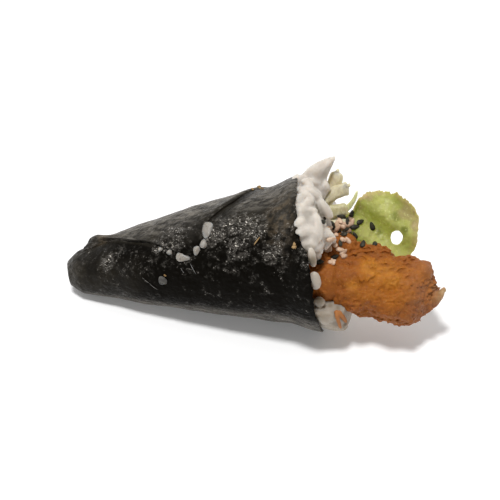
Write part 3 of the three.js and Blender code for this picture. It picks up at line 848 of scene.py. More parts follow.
def nori_lap():
    first, last = Lap.lower_edge[0][0], Lap.lower_edge[-1][0]
    rows = round((last - first) / Lap.angle_step)
    angles = [lerp(first, last, i / rows) for i in range(rows + 1)]
    front, back = [], []
    columns = [(j / (Lap.columns - 1)) ** 1.2 for j in range(Lap.columns)]
    for angle in angles:
        uneven = 0.006 * wobble(angle / 9, 0, 0) + 0.003 * wobble(angle / 3, 5, 0)
        start = height_at(Lap.lower_edge, angle) + uneven
        end = min(1, height_at(Lap.upper_edge, angle) + uneven)
        shares = [start + (end - start) * share for share in columns]
        heights = [lap_height(t, start, end, angle) for t in shares]
        front.append([nori_point(t, angle, -h) for t, h in zip(shares, heights)])
        unders = [lap_underside(t, start, angle, h) for t, h in zip(shares, heights)]
        back.append([nori_point(t, angle, -h) for t, h in zip(shares, unders)])
    return slab(front, back)


def nori_underlap():
    front, back = [], []
    shares = [j / (Underlap.columns - 1) for j in range(Underlap.columns)]
    lengths = [lerp(Underlap.start, Underlap.end, share) for share in shares]
    for i in range(Underlap.rows):
        angle = lerp(*Underlap.angles, i / (Underlap.rows - 1))
        full = Underlap.thickness * (0.3 + 0.7 * smooth(angle, *Underlap.edge_angles))
        heights = [full * (0.5 + 0.5 * smooth(share, 0, 0.2)) for share in shares]
        front.append([nori_point(t, angle, -height) for t, height in zip(lengths, heights)])
        back.append([nori_point(t, angle, Lap.sunk) for t in lengths])
    return slab(front, back)


def lap_beads():
    rng = random.Random(31)
    shape = Shape()
    for k, (t, angle, length, width, turn) in enumerate(BEADS):
        centre, ahead, beside = [
            nori_point(*place, -0.1) for place in ((t, angle), (t + 0.01, angle), (t, angle + 1))
        ]
        along, around = (ahead - centre).normalized(), (beside - centre).normalized()
        lengthwise, sideways = cos_sin(turn)
        axis = (along * lengthwise + around * sideways).normalized()
        up = along.cross(around).normalized()
        sizes = (length, width, BEAD_THICKNESS)
        taper = 0.4 if k % 2 else -0.4
        shape.add(pod(centre, axis, up, *sizes, 19, 24, taper, 0.15, 0.2, rng.uniform(0, 9)))
    return shape


def laid_threads(pairs, ground, width):
    """Thin straight threads, each laid between two places that the camera sees."""
    shape = Shape()
    for start, end in pairs:
        (a, up_a), (b, up_b) = ground.seen(start), ground.seen(end)
        up = (up_a + up_b).normalized()
        lift = up * 0.1
        shape.add(pod_between(a + lift, b + lift, up, width, width, 12, 8, 0.12))
    return shape


# ---- the leaf's frame ----

LEAF_ACROSS = Vector((1, 0, 0))
LEAF_UP = Vector((0, *cos_sin(Leaf.lean)))
LEAF_OUT = LEAF_ACROSS.cross(LEAF_UP)


# ---- the rice ----


def within(angle, span):
    """1 inside a stretch of angles and 0 outside it, for four angles as in the heap's sizes."""
    return window(signed(angle), *span)


def heap_reach(angle):
    """How far the heap stands out of the mouth at an angle."""
    full = lerp(Heap.reach, Heap.low_reach, within(angle, Heap.low_angles))
    full = lerp(full, Heap.top_reach, within(angle, Heap.top_angles))
    return lerp(full, Heap.thin_reach, within(angle, Heap.thin_angles))


def core_depth(angle):
    """How far the heap's core lies below the loose grains' face."""
    return lerp(Heap.core_depth, Heap.bare_depth, within(angle, Heap.bare_angles))


def heap_spill(angle):
    """How far the rice bulges over the rim at an angle."""
    peak = Heap.peak_spill * bell(signed(angle), Heap.peak_angle, Heap.peak_spread)
    return Heap.spill + peak + Heap.low_spill * bell(signed(angle), Heap.low_angle, Heap.low_spread)


def heap_point(s, angle, height):
    """The heap outside the rim: s runs from the rim over the shoulder to the middle of its face."""
    quarter = s * math.pi / 2
    reach = heap_reach(angle) * math.sin(quarter) ** (2 / Heap.squareness) + height * s
    round_share = max(0, math.cos(quarter)) ** (2 / Heap.squareness)
    full = roll_radius(1, angle) - Heap.gap
    spill = heap_spill(angle) * smooth(s, 0, 0.25) * round_share
    radius = full * round_share + spill + height * (1 - s)
    rim = along_roll(1, angle) + Heap.past_rim + min(0, heap_reach(angle)) * (1 - s)
    point = off_axis(lerp(rim, Roll.length, smooth(s, 0, 1)) + reach, radius, angle)
    point.z = max(point.z, 0.4)
    return point


def tucked(point):
    """The point, kept inside the sheet where it lies behind the rim."""
    t, angle = roll_place(point)
    if t > Heap.free:
        return point
    along = t * Roll.length
    if along > along_roll(1, angle):
        return point
    middle = tilted(along, 0, 0)
    away = point - middle
    most = roll_radius(min(1, t), angle) - Heap.gap
    return point if away.length <= most else middle + away * (most / away.length)


def heap_core():
    """The heap's outer end, from just inside the rim, a little smaller than the rice on it."""
    buried = rings_of(roll_point, (0.8, 0.86, 0.92), 72, Heap.gap)
    shares = (0.03, 0.12, 0.25, 0.4, 0.6, 0.8, 0.95)
    shown = [[heap_point(s, angle, -core_depth(angle)) for angle in turns(72)] for s in shares]
    return loft(buried + shown)


def heap_plug():
    """The rice inside the cone."""
    shares = (Roll.hollow_start + 0.02, 0.5, 0.8, Roll.flare_start, 0.95)
    return loft(rings_of(roll_point, shares, 48, Heap.gap))


def grain(centre, axis, up, rng):
    length = Heap.grain_length * rng.uniform(0.86, 1.1)
    width = Heap.grain_width * rng.uniform(0.9, 1.08)
    bend = rng.uniform(-0.35, 0.45)
    return pod(centre, axis, up, length, width, width * 0.9, 8, 9, rng.uniform(-0.15, 0.15), bend)


def heap_spread(count):
    """Places over the heap, as (s, angle), about as dense on its shoulder as on its face."""
    shoulder = round(Heap.shoulder_grains * count)
    for k in range(count):
        angle = 360 * (k * GOLDEN_TURN % 1)
        if k < shoulder:
            yield Heap.shoulder_end * (k + 0.5) / shoulder, angle
        else:
            radius = math.sqrt(1 - (k - shoulder + 0.5) / (count - shoulder)) * 0.97
            yield 2 / math.pi * math.acos(radius ** (Heap.squareness / 2)), angle


def heap_grains(core):
    """Loose grains all over the heap, but not in the fillet, the hollows and the smooth lobe."""
    rng = random.Random(23)
    shape = Shape()
    hollows = [(core.seen(pixel)[0], radius) for pixel, radius in Heap.hollows]
    for s, angle in heap_spread(Heap.grains):
        lift = rng.uniform(*Heap.lift)
        centre = heap_point(s, angle, lift)
        out = (heap_point(s, angle, lift + 1) - centre).normalized()
        around = heap_point(s, angle + 2, lift) - centre
        along = around.cross(out).normalized()
        turn = 2.2 * math.pi * lumps(centre, 14, 3) + rng.uniform(-0.7, 0.7)
        axis = around.normalized() * math.cos(turn) + along * math.sin(turn)
        axis = (axis + out * rng.uniform(-0.14, 0.14)).normalized()
        bare = within(angle, Heap.bare_angles) > 0.4 or (heap_reach(angle) < 0 and s < 0.3)
        if bare or in_fillet(centre, 0.2):
            continue
        centre.z = max(centre.z, Heap.lowest)
        loose = grain(centre, axis, out, rng)
        if all((point - hole).length >= size for point in loose.points for hole, size in hollows):
            shape.add(loose)
    return shape


def marked_grains(marks, ground):
    """Grains laid each between two places that the camera sees."""
    shape = Shape()
    for start, end, proud, width in marks:
        (a, up_a), (b, up_b) = ground.seen(start), ground.seen(end)
        out, span = (up_a + up_b).normalized(), b - a
        centre = (a + b) / 2 + out * (proud - 0.4 * Heap.grain_width / 2)
        length = span.length if span.length <= Heap.longest else Heap.usual
        axis = span.normalized()
        shape.add(pod(centre, axis, out, length + 0.8, width, width * 0.92, 10, 12, 0, 0.3))
    return shape


# ---- the fillet ----

FILLET_BROAD = Vector((0, *cos_sin(Fillet.lean)))
FILLET_THICK = Vector((1, 0, 0)).cross(FILLET_BROAD)
FILLET_PATH = (Fillet.root, Fillet.bend, Fillet.end)


def fuller(value):
    """A cosine or sine, squared off so that the section is fuller than an ellipse."""
    return math.copysign(abs(value) ** 0.85, value)


def fillet_point(s, angle, height):
    """A point of the fillet: s runs from its root to its far end."""
    side, rise = cos_sin(angle)
    root = lerp(Fillet.root_share, 1, smooth(s, 0, Fillet.rim_share))
    end = max(0, 1 - smooth(s, *Fillet.end_rounding) ** 1.8) ** 0.6
    bulge = bell(s, Fillet.shoulder_middle, Fillet.shoulder_spread)
    wide = Fillet.half_width + Fillet.shoulder * bulge * max(0, side)
    outward = FILLET_BROAD * (wide * fuller(side))
    outward += FILLET_THICK * (Fillet.half_thickness * fuller(rise))
    base = curve_point(FILLET_PATH, s) + outward * (root * end)
    base.x += Fillet.end_slant * (side - Fillet.end_slant_middle) * smooth(s, 0.7, 1) * end
    shown = smooth(s, Fillet.rim_share - 0.1, Fillet.rim_share + 0.05)
    rough = Fillet.crag * shown * relief(Fillet.crags, base)
    return base + outward.normalized() * (rough + height)


def fillet_place(point):
    """The share of the fillet's length beside a point, and the angle round it in degrees."""
    low, high = 0.0, 1.0
    for _ in range(12):
        middle = (low + high) / 2
        if curve_point(FILLET_PATH, middle).x < point.x:
            low = middle
        else:
            high = middle
    away = point - curve_point(FILLET_PATH, low)
    side, rise = away.dot(FILLET_BROAD), away.dot(FILLET_THICK)
    return low, math.degrees(math.atan2(rise / Fillet.half_thickness, side / Fillet.half_width))


def in_fillet(point, margin):
    """Whether a point lies inside the fillet, or within a margin of its face."""
    s, _ = fillet_place(point)
    if s > 0.98 or s < 0.02:
        return False
    away = point - curve_point(FILLET_PATH, s)
    side = away.dot(FILLET_BROAD) / (Fillet.half_width + margin)
    rise = away.dot(FILLET_THICK) / (Fillet.half_thickness + margin)
    return side * side + rise * rise < 1


def fillet_core():
    shares = [0.36, 0.42] + [lerp(0.45, 0.998, i / 69) for i in range(70)]
    return loft(rings_of(fillet_point, shares, 96, Fillet.inset))


def fillet_plug():
    """The fillet's root inside the rice."""
    return loft(rings_of(fillet_point, (0, 0.14, 0.28, 0.4), 24, -0.4))


def fillet_flakes():
    """Breadcrumb flakes: flat on the broad face, coarse and raised along the rims and the end."""
    rng = random.Random(7)
    shape = Shape()
    for k in range(Fillet.flakes):
        s = lerp(Fillet.rim_share - 0.04, 1.0, (k + rng.random()) / Fillet.flakes)
        angle = 360 * (k * GOLDEN_TURN % 1)
        seat = fillet_point(s, angle, Fillet.inset)
        out = (fillet_point(s, angle, Fillet.inset + 1) - seat).normalized()
        rim = max(smooth(abs(cos_sin(angle)[0]), 0.55, 0.95), 0.4 * smooth(s, 0.82, 0.97))
        small = rng.random() < Fillet.small_flakes
        size = rng.uniform(*(Fillet.small_flake if small else Fillet.large_flake))
        tilt = lerp(0.09, 0.55, rim)
        tip = (out + scattered(rng, tilt)).normalized()
        flat = lerp(0.3, 0.6, rim) if small else lerp(0.13, 0.36, rim)
        shape.add(chunk(seat + out * lerp(0.02, 0.38, rim), tip, size, flat, rng))
    return shape


def fillet_knobs():
    """The crust's lumps that stand out from the fillet's even form."""
    shape = Shape()
    rng = random.Random(19)
    across = FILLET_BROAD.cross(FILLET_THICK)
    for pixel, back, *sizes in CRUST_KNOBS:
        centre = at_side(pixel, back)
        length, width, thickness = sizes
        shape.add(pod(centre, FILLET_BROAD, FILLET_THICK, *sizes, 12, 16, 0.1, 0, 0.3, pixel[0]))
        for k in range(Fillet.knob_crumbs):
            turn = math.tau * (k * GOLDEN_TURN % 1)
            rise = lerp(-0.9, 0.9, k / (Fillet.knob_crumbs - 1))
            flat = math.sqrt(1 - rise * rise)
            out = FILLET_BROAD * (rise * length / 2) + across * (flat * math.cos(turn) * width / 2)
            out += FILLET_THICK * (flat * math.sin(turn) * thickness / 2)
            shape.add(chunk(centre + out, out.normalized(), rng.uniform(0.7, 1.4), 0.4, rng))
    return shape


def fillet_spur():
    path = [Fillet.end + Vector(place) for place in Fillet.spur]
    rng = random.Random(8)
    shape = strip(path, Fillet.spur_width, Fillet.spur_tip, Fillet.spur_thickness)
    for _ in range(Fillet.spur_crumbs):
        share = rng.uniform(0.2, 1)
        out = scattered(rng, 1).normalized()
        seat = curve_point(path, share) + out * lerp(3.1, 0.5, share)
        shape.add(chunk(seat, out, rng.uniform(0.3, 0.9), 0.5, rng))
    return shape


# ---- the leaf ----


def leaf_edge(across, reach, right_fullness=Leaf.right_fullness):
    """How far the blade reaches from its middle line, for a greatest reach."""
    share = min(1, abs(across) / Leaf.half_width)
    fullness = Leaf.left_fullness if across < 0 else right_fullness
    blade = reach * (1 - share**fullness) ** (1 / fullness)
    return max(blade, Leaf.tail_half_width if across < 0 else 1)


def leaf_point(across, up, out):
    broad = Leaf.wave * math.sin(across / 3.1 + up / 5) * math.cos(up / 4.3 - across / 9)
    fine = Leaf.fine_wave * math.sin(up / 2.2 + across / 2.7)
    crisp = Leaf.crisp * wobble(across / 1.7, up / 1.7, 4)
    place = Leaf.centre + LEAF_ACROSS * across + LEAF_UP * up
    return place + LEAF_OUT * (out + broad + fine + crisp)


def leaf_blade():
    first, last = -Leaf.tail, Leaf.half_width - 0.3
    front, back = [], []
    for i in range(Leaf.rows):
        across = lerp(first, last, (i / (Leaf.rows - 1)) ** 0.75)
        ragged = Leaf.ragged * wobble(across / 2.3, 3, 3)
        fall = Leaf.tail_drop * smooth(-across, Leaf.half_width - 2, Leaf.tail)
        nick_top = Leaf.nick * wobble(across / 0.9, 7, 1)
        nick_top += Leaf.fine_nick * wobble(across / 0.45, 1, 9)
        nick_low = Leaf.nick * wobble(across / 0.9, 2, 6)
        corner = Leaf.corner_rise * bell(across, Leaf.corner, Leaf.corner_half_width)
        top = leaf_edge(across, Leaf.rise) + corner + ragged - fall + nick_top
        bottom = -leaf_edge(across, Leaf.drop, Leaf.low_right_fullness) - ragged - fall + nick_low
        high, low = [], []
        for j in range(Leaf.columns):
            up = lerp(bottom, top, j / (Leaf.columns - 1))
            rim = min(j, Leaf.columns - 1 - j) / 6
            half = Leaf.thickness / 2 * (0.45 + 0.55 * min(1, rim))
            sway = Leaf.sway * wobble(up / 1.4, across / 3, 2) * smooth(across, last - 4, last)
            high.append(leaf_point(across + sway, up, half))
            low.append(leaf_point(across + sway, up, -half))
        front.append(high)
        back.append(low)
    return slab(front, back)


def leaf_plug():
    """The body that cuts the leaf's small uneven hole."""
    middle = Leaf.centre + LEAF_ACROSS * Leaf.hole_across - LEAF_UP * Leaf.hole_down
    rings = []
    for depth in (-6, 6):
        ring = []
        for angle in turns(40):
            cos, sin = cos_sin(angle)
            uneven = 1 + 0.1 * wobble(cos * 2, sin * 2, 3)
            side = LEAF_ACROSS * (Leaf.hole_half_width * cos * uneven)
            rise = LEAF_UP * (Leaf.hole_half_height * sin * uneven)
            ring.append(middle + side + rise + LEAF_OUT * depth)
        rings.append(ring)
    return loft(rings)


# ---- where the camera sees things ----


def sight_axes():
    (cos, sin), (level, rise) = cos_sin(Sight.azimuth), cos_sin(Sight.elevation)
    back = Vector((sin * level, -cos * level, rise))
    right = Vector((0, 0, 1)).cross(back).normalized()
    return right, back.cross(right), back


def sight_eye():
    """Where the camera stands."""
    return Sight.target + sight_axes()[2] * Sight.distance


def sight_line(pixel):
    """The direction from the camera through a pixel of its frame."""
    right, up, back = sight_axes()
    step = Sight.sensor / Sight.pixels / Sight.lens
    half = Sight.pixels / 2
    x, y = (pixel[0] - half) * step, (half - pixel[1]) * step
    return (right * x + up * y - back).normalized()


def at_side(pixel, y):
    """The place on the camera's line through a pixel that lies at y."""
    eye, line = sight_eye(), sight_line(pixel)
    return eye + line * ((y - eye.y) / line.y)


class Ground:
    """What things are laid on: shapes that the camera's lines can hit."""

    def __init__(self, *shapes):
        whole = Shape()
        for shape in shapes:
            whole.add(shape)
        self.tree = BVHTree.FromPolygons(whole.points, whole.faces)

    def seen(self, pixel):
        """The place that the camera sees at a pixel, and the direction out of it."""
        eye, line = sight_eye(), sight_line(pixel)
        place, out, _, _ = self.tree.ray_cast(eye, line)
        if place is None:
            place, out, _, _ = self.tree.find_nearest(eye + line * Sight.distance)
        return place, (-out if out.dot(line) > 0 else out)


# ---- Blender meshes ----

# The part's origin is under the middle of its box. The nori's box, whose edges are known from the
# sizes above, says where that is.
nori_low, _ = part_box("nori_wrapper")
tip_rim = [off_axis(along_roll(0, angle), roll_radius(0, angle), angle) for angle in turns(48)]
lowest_x = min(point.x for point in tip_rim)
ORIGIN = Vector((lowest_x, -(Roll.mouth_radius + Roll.flare), 0))
ORIGIN -= Vector((nori_low[0], nori_low[1], 0)) / MM


def mesh_of(name, shape):
    mesh = bpy.data.meshes.new(name)
    mesh.from_pydata([(point - ORIGIN) * MM for point in shape.points], [], shape.faces)
    return mesh


def mesh_object(name, shape):
    """An object of a shape, with its faces turned outward."""
    mesh = mesh_of(name, shape)
    mesh.validate()
    turned = bmesh.new()
    turned.from_mesh(mesh)
    bmesh.ops.recalc_face_normals(turned, faces=turned.faces)
    turned.to_mesh(mesh)
    turned.free()
    obj = bpy.data.objects.new(name, mesh)
    bpy.context.scene.collection.objects.link(obj)
    return obj


def give_mesh(obj, mesh):
    old = obj.data
    obj.data = mesh
    bpy.data.meshes.remove(old)


def applied(obj):
    """The object with its modifiers made part of its mesh."""
    depsgraph = bpy.context.evaluated_depsgraph_get()
    made = bpy.data.meshes.new_from_object(obj.evaluated_get(depsgraph))
    obj.modifiers.clear()
    give_mesh(obj, made)
    return obj


def fused(name, shape, voxel, rounds):
    """One skin round overlapping bodies, softened a little."""
    obj = mesh_object(name, shape)
    remesh = obj.modifiers.new("skin", "REMESH")
    remesh.mode = "VOXEL"
    remesh.voxel_size = voxel * MM
    soften = obj.modifiers.new("soften", "SMOOTH")
    soften.iterations = rounds
    soften.factor = 0.5
    return applied(obj)


def points_of(obj):
    """The points of an object's mesh, in millimetres."""
    return [vertex.co / MM + ORIGIN for vertex in obj.data.vertices]


def shape_of(obj):
    """An object's mesh as a Shape, in millimetres."""
    return Shape(points_of(obj), [tuple(face.vertices) for face in obj.data.polygons])


def join_into(obj, shape):
    """Adds a plain body to an object's mesh."""
    mesh = mesh_of(obj.name, shape_of(obj).add(shape))
    mesh.update()
    give_mesh(obj, mesh)


def keep(obj, name, values):
    """Keeps a number on each vertex, for the material to read."""
    layer = obj.data.attributes.new(name, "FLOAT", "POINT")
    layer.data.foreach_set("value", values)


def paint(obj, name, value_at):
    keep(obj, name, [value_at(point) for point in points_of(obj)])


def finish_piece(obj, look, slot, *nodes):
    obj.data.materials.clear()
    obj.data.materials.append(look)
    obj.data.polygons.foreach_set("use_smooth", [True] * len(obj.data.polygons))
    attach(obj, "root")
    if nodes:
        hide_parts(*nodes)


# ---- materials ----


def put(tree, socket, value):
    """Puts a value into a node's input, or links another node's output to it."""
    if isinstance(value, bpy.types.NodeSocket):
        tree.links.new(value, socket)
    else:
        socket.default_value = value


def add_node(tree, kind, **values):
    """A new node of a kind, with a value or a link for each of its named inputs."""
    node = tree.nodes.new("ShaderNode" + kind)
    for name, value in values.items():
        put(tree, node.inputs[name.replace("_", " ")], value)
    return node


class Look:
    """A material under construction, with short calls for the nodes that it needs."""

    def __init__(self, name):
        self.material = bpy.data.materials.new(name)
        self.material.use_nodes = True
        self.tree = self.material.node_tree
        self.shader = self.tree.nodes["Principled BSDF"]
        self.place = self.tree.nodes.new("ShaderNodeTexCoord").outputs["Object"]
        self.base = None

    def node(self, kind, **values):
        return add_node(self.tree, kind, **values)

    def put(self, socket, value):
        put(self.tree, socket, value)

    def set(self, **values):
        """Puts values or links into the shader's inputs, and gives the material."""
        for name, value in values.items():
            self.put(self.shader.inputs[name.replace("_", " ")], value)
        return self.material

    def stretched(self, turn, scale):
        """The place, turned and stretched, for streaks."""
        turn = [math.radians(v) for v in turn]
        return self.node("Mapping", Rotation=turn, Scale=scale, Vector=self.place).outputs["Vector"]

    def noise(self, size, detail=4.0, roughness=0.55, place=None, distortion=0.0):
        """Perlin noise with lumps of a size in millimetres."""
        node = self.node(
            "TexNoise", Scale=1 / (size * MM), Detail=detail, Roughness=roughness,
            Distortion=distortion, Vector=place or self.place,
        )
        return node.outputs["Fac"]

    def cells(self, size):
        node = self.node("TexVoronoi", Scale=1 / (size * MM), Vector=self.place)
        return node.outputs["Distance"]

    def attribute(self, name):
        node = self.node("Attribute")
        node.attribute_name = name
        return node.outputs["Fac"]

    def math(self, operation, a, b):
        node = self.node("Math")
        node.operation = operation
        for socket, value in zip(node.inputs, (a, b)):
            self.put(socket, value)
        return node.outputs["Value"]

    def plus(self, a, b):
        return self.math("ADD", a, b)

    def times(self, a, b):
        return self.math("MULTIPLY", a, b)

    def ranged(self, value, low, high, to_low=0.0, to_high=1.0):
        """The value, brought smoothly from one range into another."""
        node = self.node(
            "MapRange", From_Min=low, From_Max=high, To_Min=to_low, To_Max=to_high, Value=value
        )
        node.interpolation_type = "SMOOTHSTEP"
        return node.outputs["Result"]

    def field(self, size, detail, *span, **how):
        """Perlin noise, brought into a range."""
        return self.ranged(self.noise(size, detail, **how), *span)

    def mix(self, share, a, b):
        node = self.node("Mix")
        node.data_type = "RGBA"
        for k, value in zip((0, 6, 7), (share, a, b)):
            self.put(node.inputs[k], (*value, 1) if isinstance(value, tuple) else value)
        return node.outputs[2]

    def tint(self, share, colour):
        """Lays a colour over the base colour."""
        self.base = self.mix(share, self.base, colour)

    def bump(self, *layers):
        """Relief from (height, depth in millimetres, strength) layers, the coarsest first."""
        normal = None
        for height, depth, *strength in layers:
            node = self.node("Bump", Distance=depth * MM, Height=height)
            if strength:
                self.put(node.inputs["Strength"], strength[0])
            if normal:
                self.put(node.inputs["Normal"], normal)
            normal = node.outputs["Normal"]
        self.set(Normal=normal)


def nori_look():
    look = Look("nori")
    broken = look.plus(look.noise(5, 4, 0.65), look.times(look.noise(1.6, 3, 0.6), 0.6))
    broken = look.times(look.math("SUBTRACT", broken, 0.8), 2.2)
    wet = look.ranged(look.plus(look.attribute("wet"), broken), 0.1, 0.85)
    strokes = look.noise(1.5, 3, 0.6, look.stretched((0, 30, 20), (0.6, 1, 1)), 0.8)
    shine = look.times(wet, look.ranged(strokes, 0.4, 0.6))
    dust_and_sheen, deep = look.attribute("dust_and_sheen"), look.attribute("deep")
    fibres = look.noise(1.5, 5, 0.65, look.stretched((0, 12, 38), (0.16, 1, 1)), 0.4)
    fine = look.noise(0.5, 3, 0.6, look.stretched((0, 12, 38), (0.25, 1, 1)))
    sheen_and_dust = look.times(dust_and_sheen, look.ranged(fibres, 0.4, 0.64, 0.08, 1))
    rusty = look.times(look.attribute("rust"), look.field(2.5, 4, 0.4, 0.62))
    painted_sheen_smears = look.times(wet, look.field(1.9, 3, 0.45, 0.68, roughness=0.6))
    painted_glints = look.times(shine, look.field(0.5, 2, 0.6, 0.68, roughness=0.5))
    look.base = (0.0055, 0.0045, 0.0032)
    look.tint(look.field(9, 4, 0.4, 0.65), (0.014, 0.0115, 0.0075))
    look.tint(deep, (0.0032, 0.0026, 0.0018))
    # Pale dusty fibres, with painted sheen on the lap and crest and a painted floor reflection
    # along the bottom.
    look.tint(sheen_and_dust, (0.155, 0.14, 0.118))
    look.tint(rusty, (0.1, 0.075, 0.048))
    # Painted sheen as grey smears, and painted glints as pale specks, where the sheet is wet and
    # shining.
    look.tint(painted_sheen_smears, (0.05, 0.045, 0.039))
    look.tint(painted_glints, (0.72, 0.67, 0.6))
    gloss = look.field(1.1, 4, 0.35, 0.65, roughness=0.6)
    dull = look.mix(gloss, (0.34, 0.34, 0.34), (0.6, 0.6, 0.6))
    shiny = look.mix(gloss, (0.06, 0.06, 0.06), (0.24, 0.24, 0.24))
    specular = look.plus(look.ranged(deep, 0, 1, 0.14, 0.04), look.times(shine, 0.85))
    rough = look.ranged(shine, 0, 1, 0.25, 1)
    crumples, creases = look.noise(2.3, 1.5, 0.5), look.cells(1.5)
    look.bump((crumples, 1.7, rough), (creases, 0.4, rough), (fibres, 0.5, rough), (fine, 0.15))
    look.set(Sheen_Weight=look.ranged(dust_and_sheen, 0, 1, 0, 0.22), Sheen_Roughness=0.45)
    look.set(Sheen_Tint=(1, 0.95, 0.88, 1), IOR=1.5, Specular_Tint=(1, 0.92, 0.8, 1))
    return look.set(
        Base_Color=look.base, Roughness=look.mix(shine, dull, shiny), Specular_IOR_Level=specular
    )


def rice_look(name="rice", clear=0.0, deep=(0.24, 0.19, 0.13)):
    look = Look(name)
    look.base = (0.56, 0.51, 0.45)
    look.tint(look.field(3.5, 3, 0.35, 0.7), (0.645, 0.595, 0.53))
    # Painted shade on the heap; on the beads the same layer is a darker tone.
    look.tint(look.attribute("shade"), deep)
    crack_shade = look.attribute("crack_shade")
    # Painted shade in the cracks between grains, with less scattering there so that it stays dark.
    look.tint(crack_shade, (0.16, 0.135, 0.095))
    look.bump((look.noise(1.1, 3), 0.07), (look.noise(0.4, 3), 0.08))
    look.set(Base_Color=look.base, Roughness=look.field(1.2, 3, 0.35, 0.7, 0.26, 0.55))
    look.set(Subsurface_Weight=look.ranged(crack_shade, 0, 0.6, 1, 0), Subsurface_Scale=0.0035)
    look.set(Subsurface_Radius=(1, 0.88, 0.76), Transmission_Weight=clear, IOR=1.4)
    return look.set(Specular_IOR_Level=0.4)


def crust_look():
    look = Look("crust")
    blotches = look.noise(5, 5, 0.6)
    streaked = look.stretched((0, 25, 35), (0.9, 1, 1))
    dark = look.ranged(look.plus(look.attribute("rim"), look.times(blotches, 1.4)), 0.55, 1.4)
    golden_and_lit = look.ranged(look.plus(look.attribute("gold_and_light"), look.times(blotches, 0.9)), 0.55, 1.25)
    light = look.field(1.6, 4, 0.54, 0.74, 0, 0.4, roughness=0.6)
    sunk = look.ranged(look.attribute("height"), 0.1, 0.6, 0.18, 0)
    umber = look.field(2.6, 4, 0.52, 0.7, 0, 0.5, roughness=0.6, place=streaked)
    far = look.times(look.attribute("far"), look.ranged(blotches, 0.3, 0.7, 0.3, 0.85))
    look.base = (0.39, 0.126, 0.009)
    # Darker along the rims and near the root: painted shade where the fillet turns away and lies
    # under the rim, and browner crust.
    look.tint(dark, (0.3, 0.09, 0.011))
    # Painted light over the golden middle of the broad face.
    look.tint(golden_and_lit, (0.49, 0.185, 0.018))
    look.tint(light, (0.47, 0.18, 0.024))
    # Painted shade in the low places between flakes.
    look.tint(sunk, (0.2, 0.055, 0.008))
    look.tint(umber, (0.21, 0.058, 0.01))
    look.tint(far, (0.31, 0.125, 0.052))
    look.tint(look.attribute("pale"), (0.47, 0.32, 0.17))
    look.tint(look.field(0.7, 2, 0.62, 0.72, 0, 0.35), (0.56, 0.29, 0.09))
    look.bump((look.noise(1.7, 4, 0.65), 0.3), (look.noise(0.5, 3, 0.6), 0.26))
    look.set(Base_Color=look.base, Roughness=look.field(1.4, 3, 0.3, 0.7, 0.38, 0.7))
    look.set(Subsurface_Weight=0.15, Subsurface_Scale=0.002, Subsurface_Radius=(1, 0.4, 0.2))
    return look.set(Specular_IOR_Level=0.2)


def lettuce_look():
    look = Look("lettuce")
    broken = look.times(look.noise(2.2, 3, 0.6), 0.7)
    dark = look.ranged(look.plus(look.attribute("dark"), broken), 0.65, 1.3)
    brown = look.ranged(look.plus(look.attribute("brown"), broken), 0.55, 1.1, 0, 0.85)
    margin = look.times(look.attribute("margin"), look.field(3, 3, 0.3, 0.6, 0.3, 1))
    look.base = (0.36, 0.342, 0.115)
    look.tint(look.field(7, 4, 0.35, 0.66, roughness=0.6), (0.43, 0.415, 0.155))
    # Painted shade in the leaf's dips and by its fold.
    look.tint(dark, (0.2, 0.195, 0.045))
    look.tint(brown, (0.36, 0.27, 0.15))
    look.tint(look.field(1, 2, 0.61, 0.72, 0, 0.6), (0.6, 0.57, 0.3))
    look.tint(margin, (0.42, 0.31, 0.17))
    look.bump((look.noise(2.4, 4, 0.6), 0.4), (look.cells(1.1), 0.12))
    look.set(Base_Color=look.base, Roughness=look.field(1.6, 3, 0.3, 0.7, 0.35, 0.6))
    look.set(Subsurface_Weight=0.6, Subsurface_Scale=0.004, Subsurface_Radius=(0.8, 1, 0.3))
    return look.set(Specular_IOR_Level=0.35)


def shred_look(name, pale, deep):
    look = Look(name)
    streaks = look.noise(0.9, 3, 0.55, look.stretched((0, 60, 20), (1, 1, 0.2)))
    look.base = deep
    look.tint(look.ranged(streaks, 0.35, 0.7), pale)
    look.tint(look.field(3, 3, 0.55, 0.72, 0, 0.4), (0.42, 0.3, 0.18))
    look.bump((streaks, 0.3), (look.noise(0.6, 2), 0.1))
    look.set(Base_Color=look.base, Roughness=look.field(1.5, 2, 0.3, 0.7, 0.28, 0.5))
    return look.set(
        Subsurface_Weight=0.5, Subsurface_Scale=0.003, Subsurface_Radius=(1, 0.9, 0.5)
    )


def seed_look(name, low, high):
    """Seeds and crumbs."""
    look = Look(name)
    look.base = low
    look.tint(look.field(1.3, 3, 0.35, 0.7), high)
    look.bump((look.noise(0.4, 2), 0.08))
    roughness = look.field(0.7, 2, 0.3, 0.7, 0.45, 0.7)
    return look.set(Base_Color=look.base, Roughness=roughness, Specular_IOR_Level=0.3)


# ---- small things, laid where the camera sees them ----


def seeds(pixels, ground, seed):
    rng = random.Random(seed)
    shape = Shape()
    for pixel in pixels:
        seat, out = ground.seen(pixel)
        side = out.cross(Vector((1, 0, 0))).normalized()
        along = side.cross(out).normalized()
        turn = rng.uniform(0, math.pi)
        axis = along * math.cos(turn) + side * math.sin(turn)
        scale = rng.uniform(0.88, 1.1)
        centre = seat + out * (0.25 * SEED_THICKNESS)
        length, width = SEED_LENGTH * scale, SEED_WIDTH * scale
        shape.add(pod(centre, axis, out, length, width, SEED_THICKNESS, 10, 10, 0.35))
    return shape


def crumbs(places, ground, seed):
    """Crumbs on the ground, from (pixel, size in millimetres)."""
    rng = random.Random(seed)
    shape = Shape()
    for pixel, size in places:
        seat, out = ground.seen(pixel)
        for _ in range(4):
            off = scattered(rng, 0.22) * size
            shape.add(chunk(seat + off, out, size * rng.uniform(0.2, 0.34), 0.7, rng))
    return shape


# ---- the pieces ----


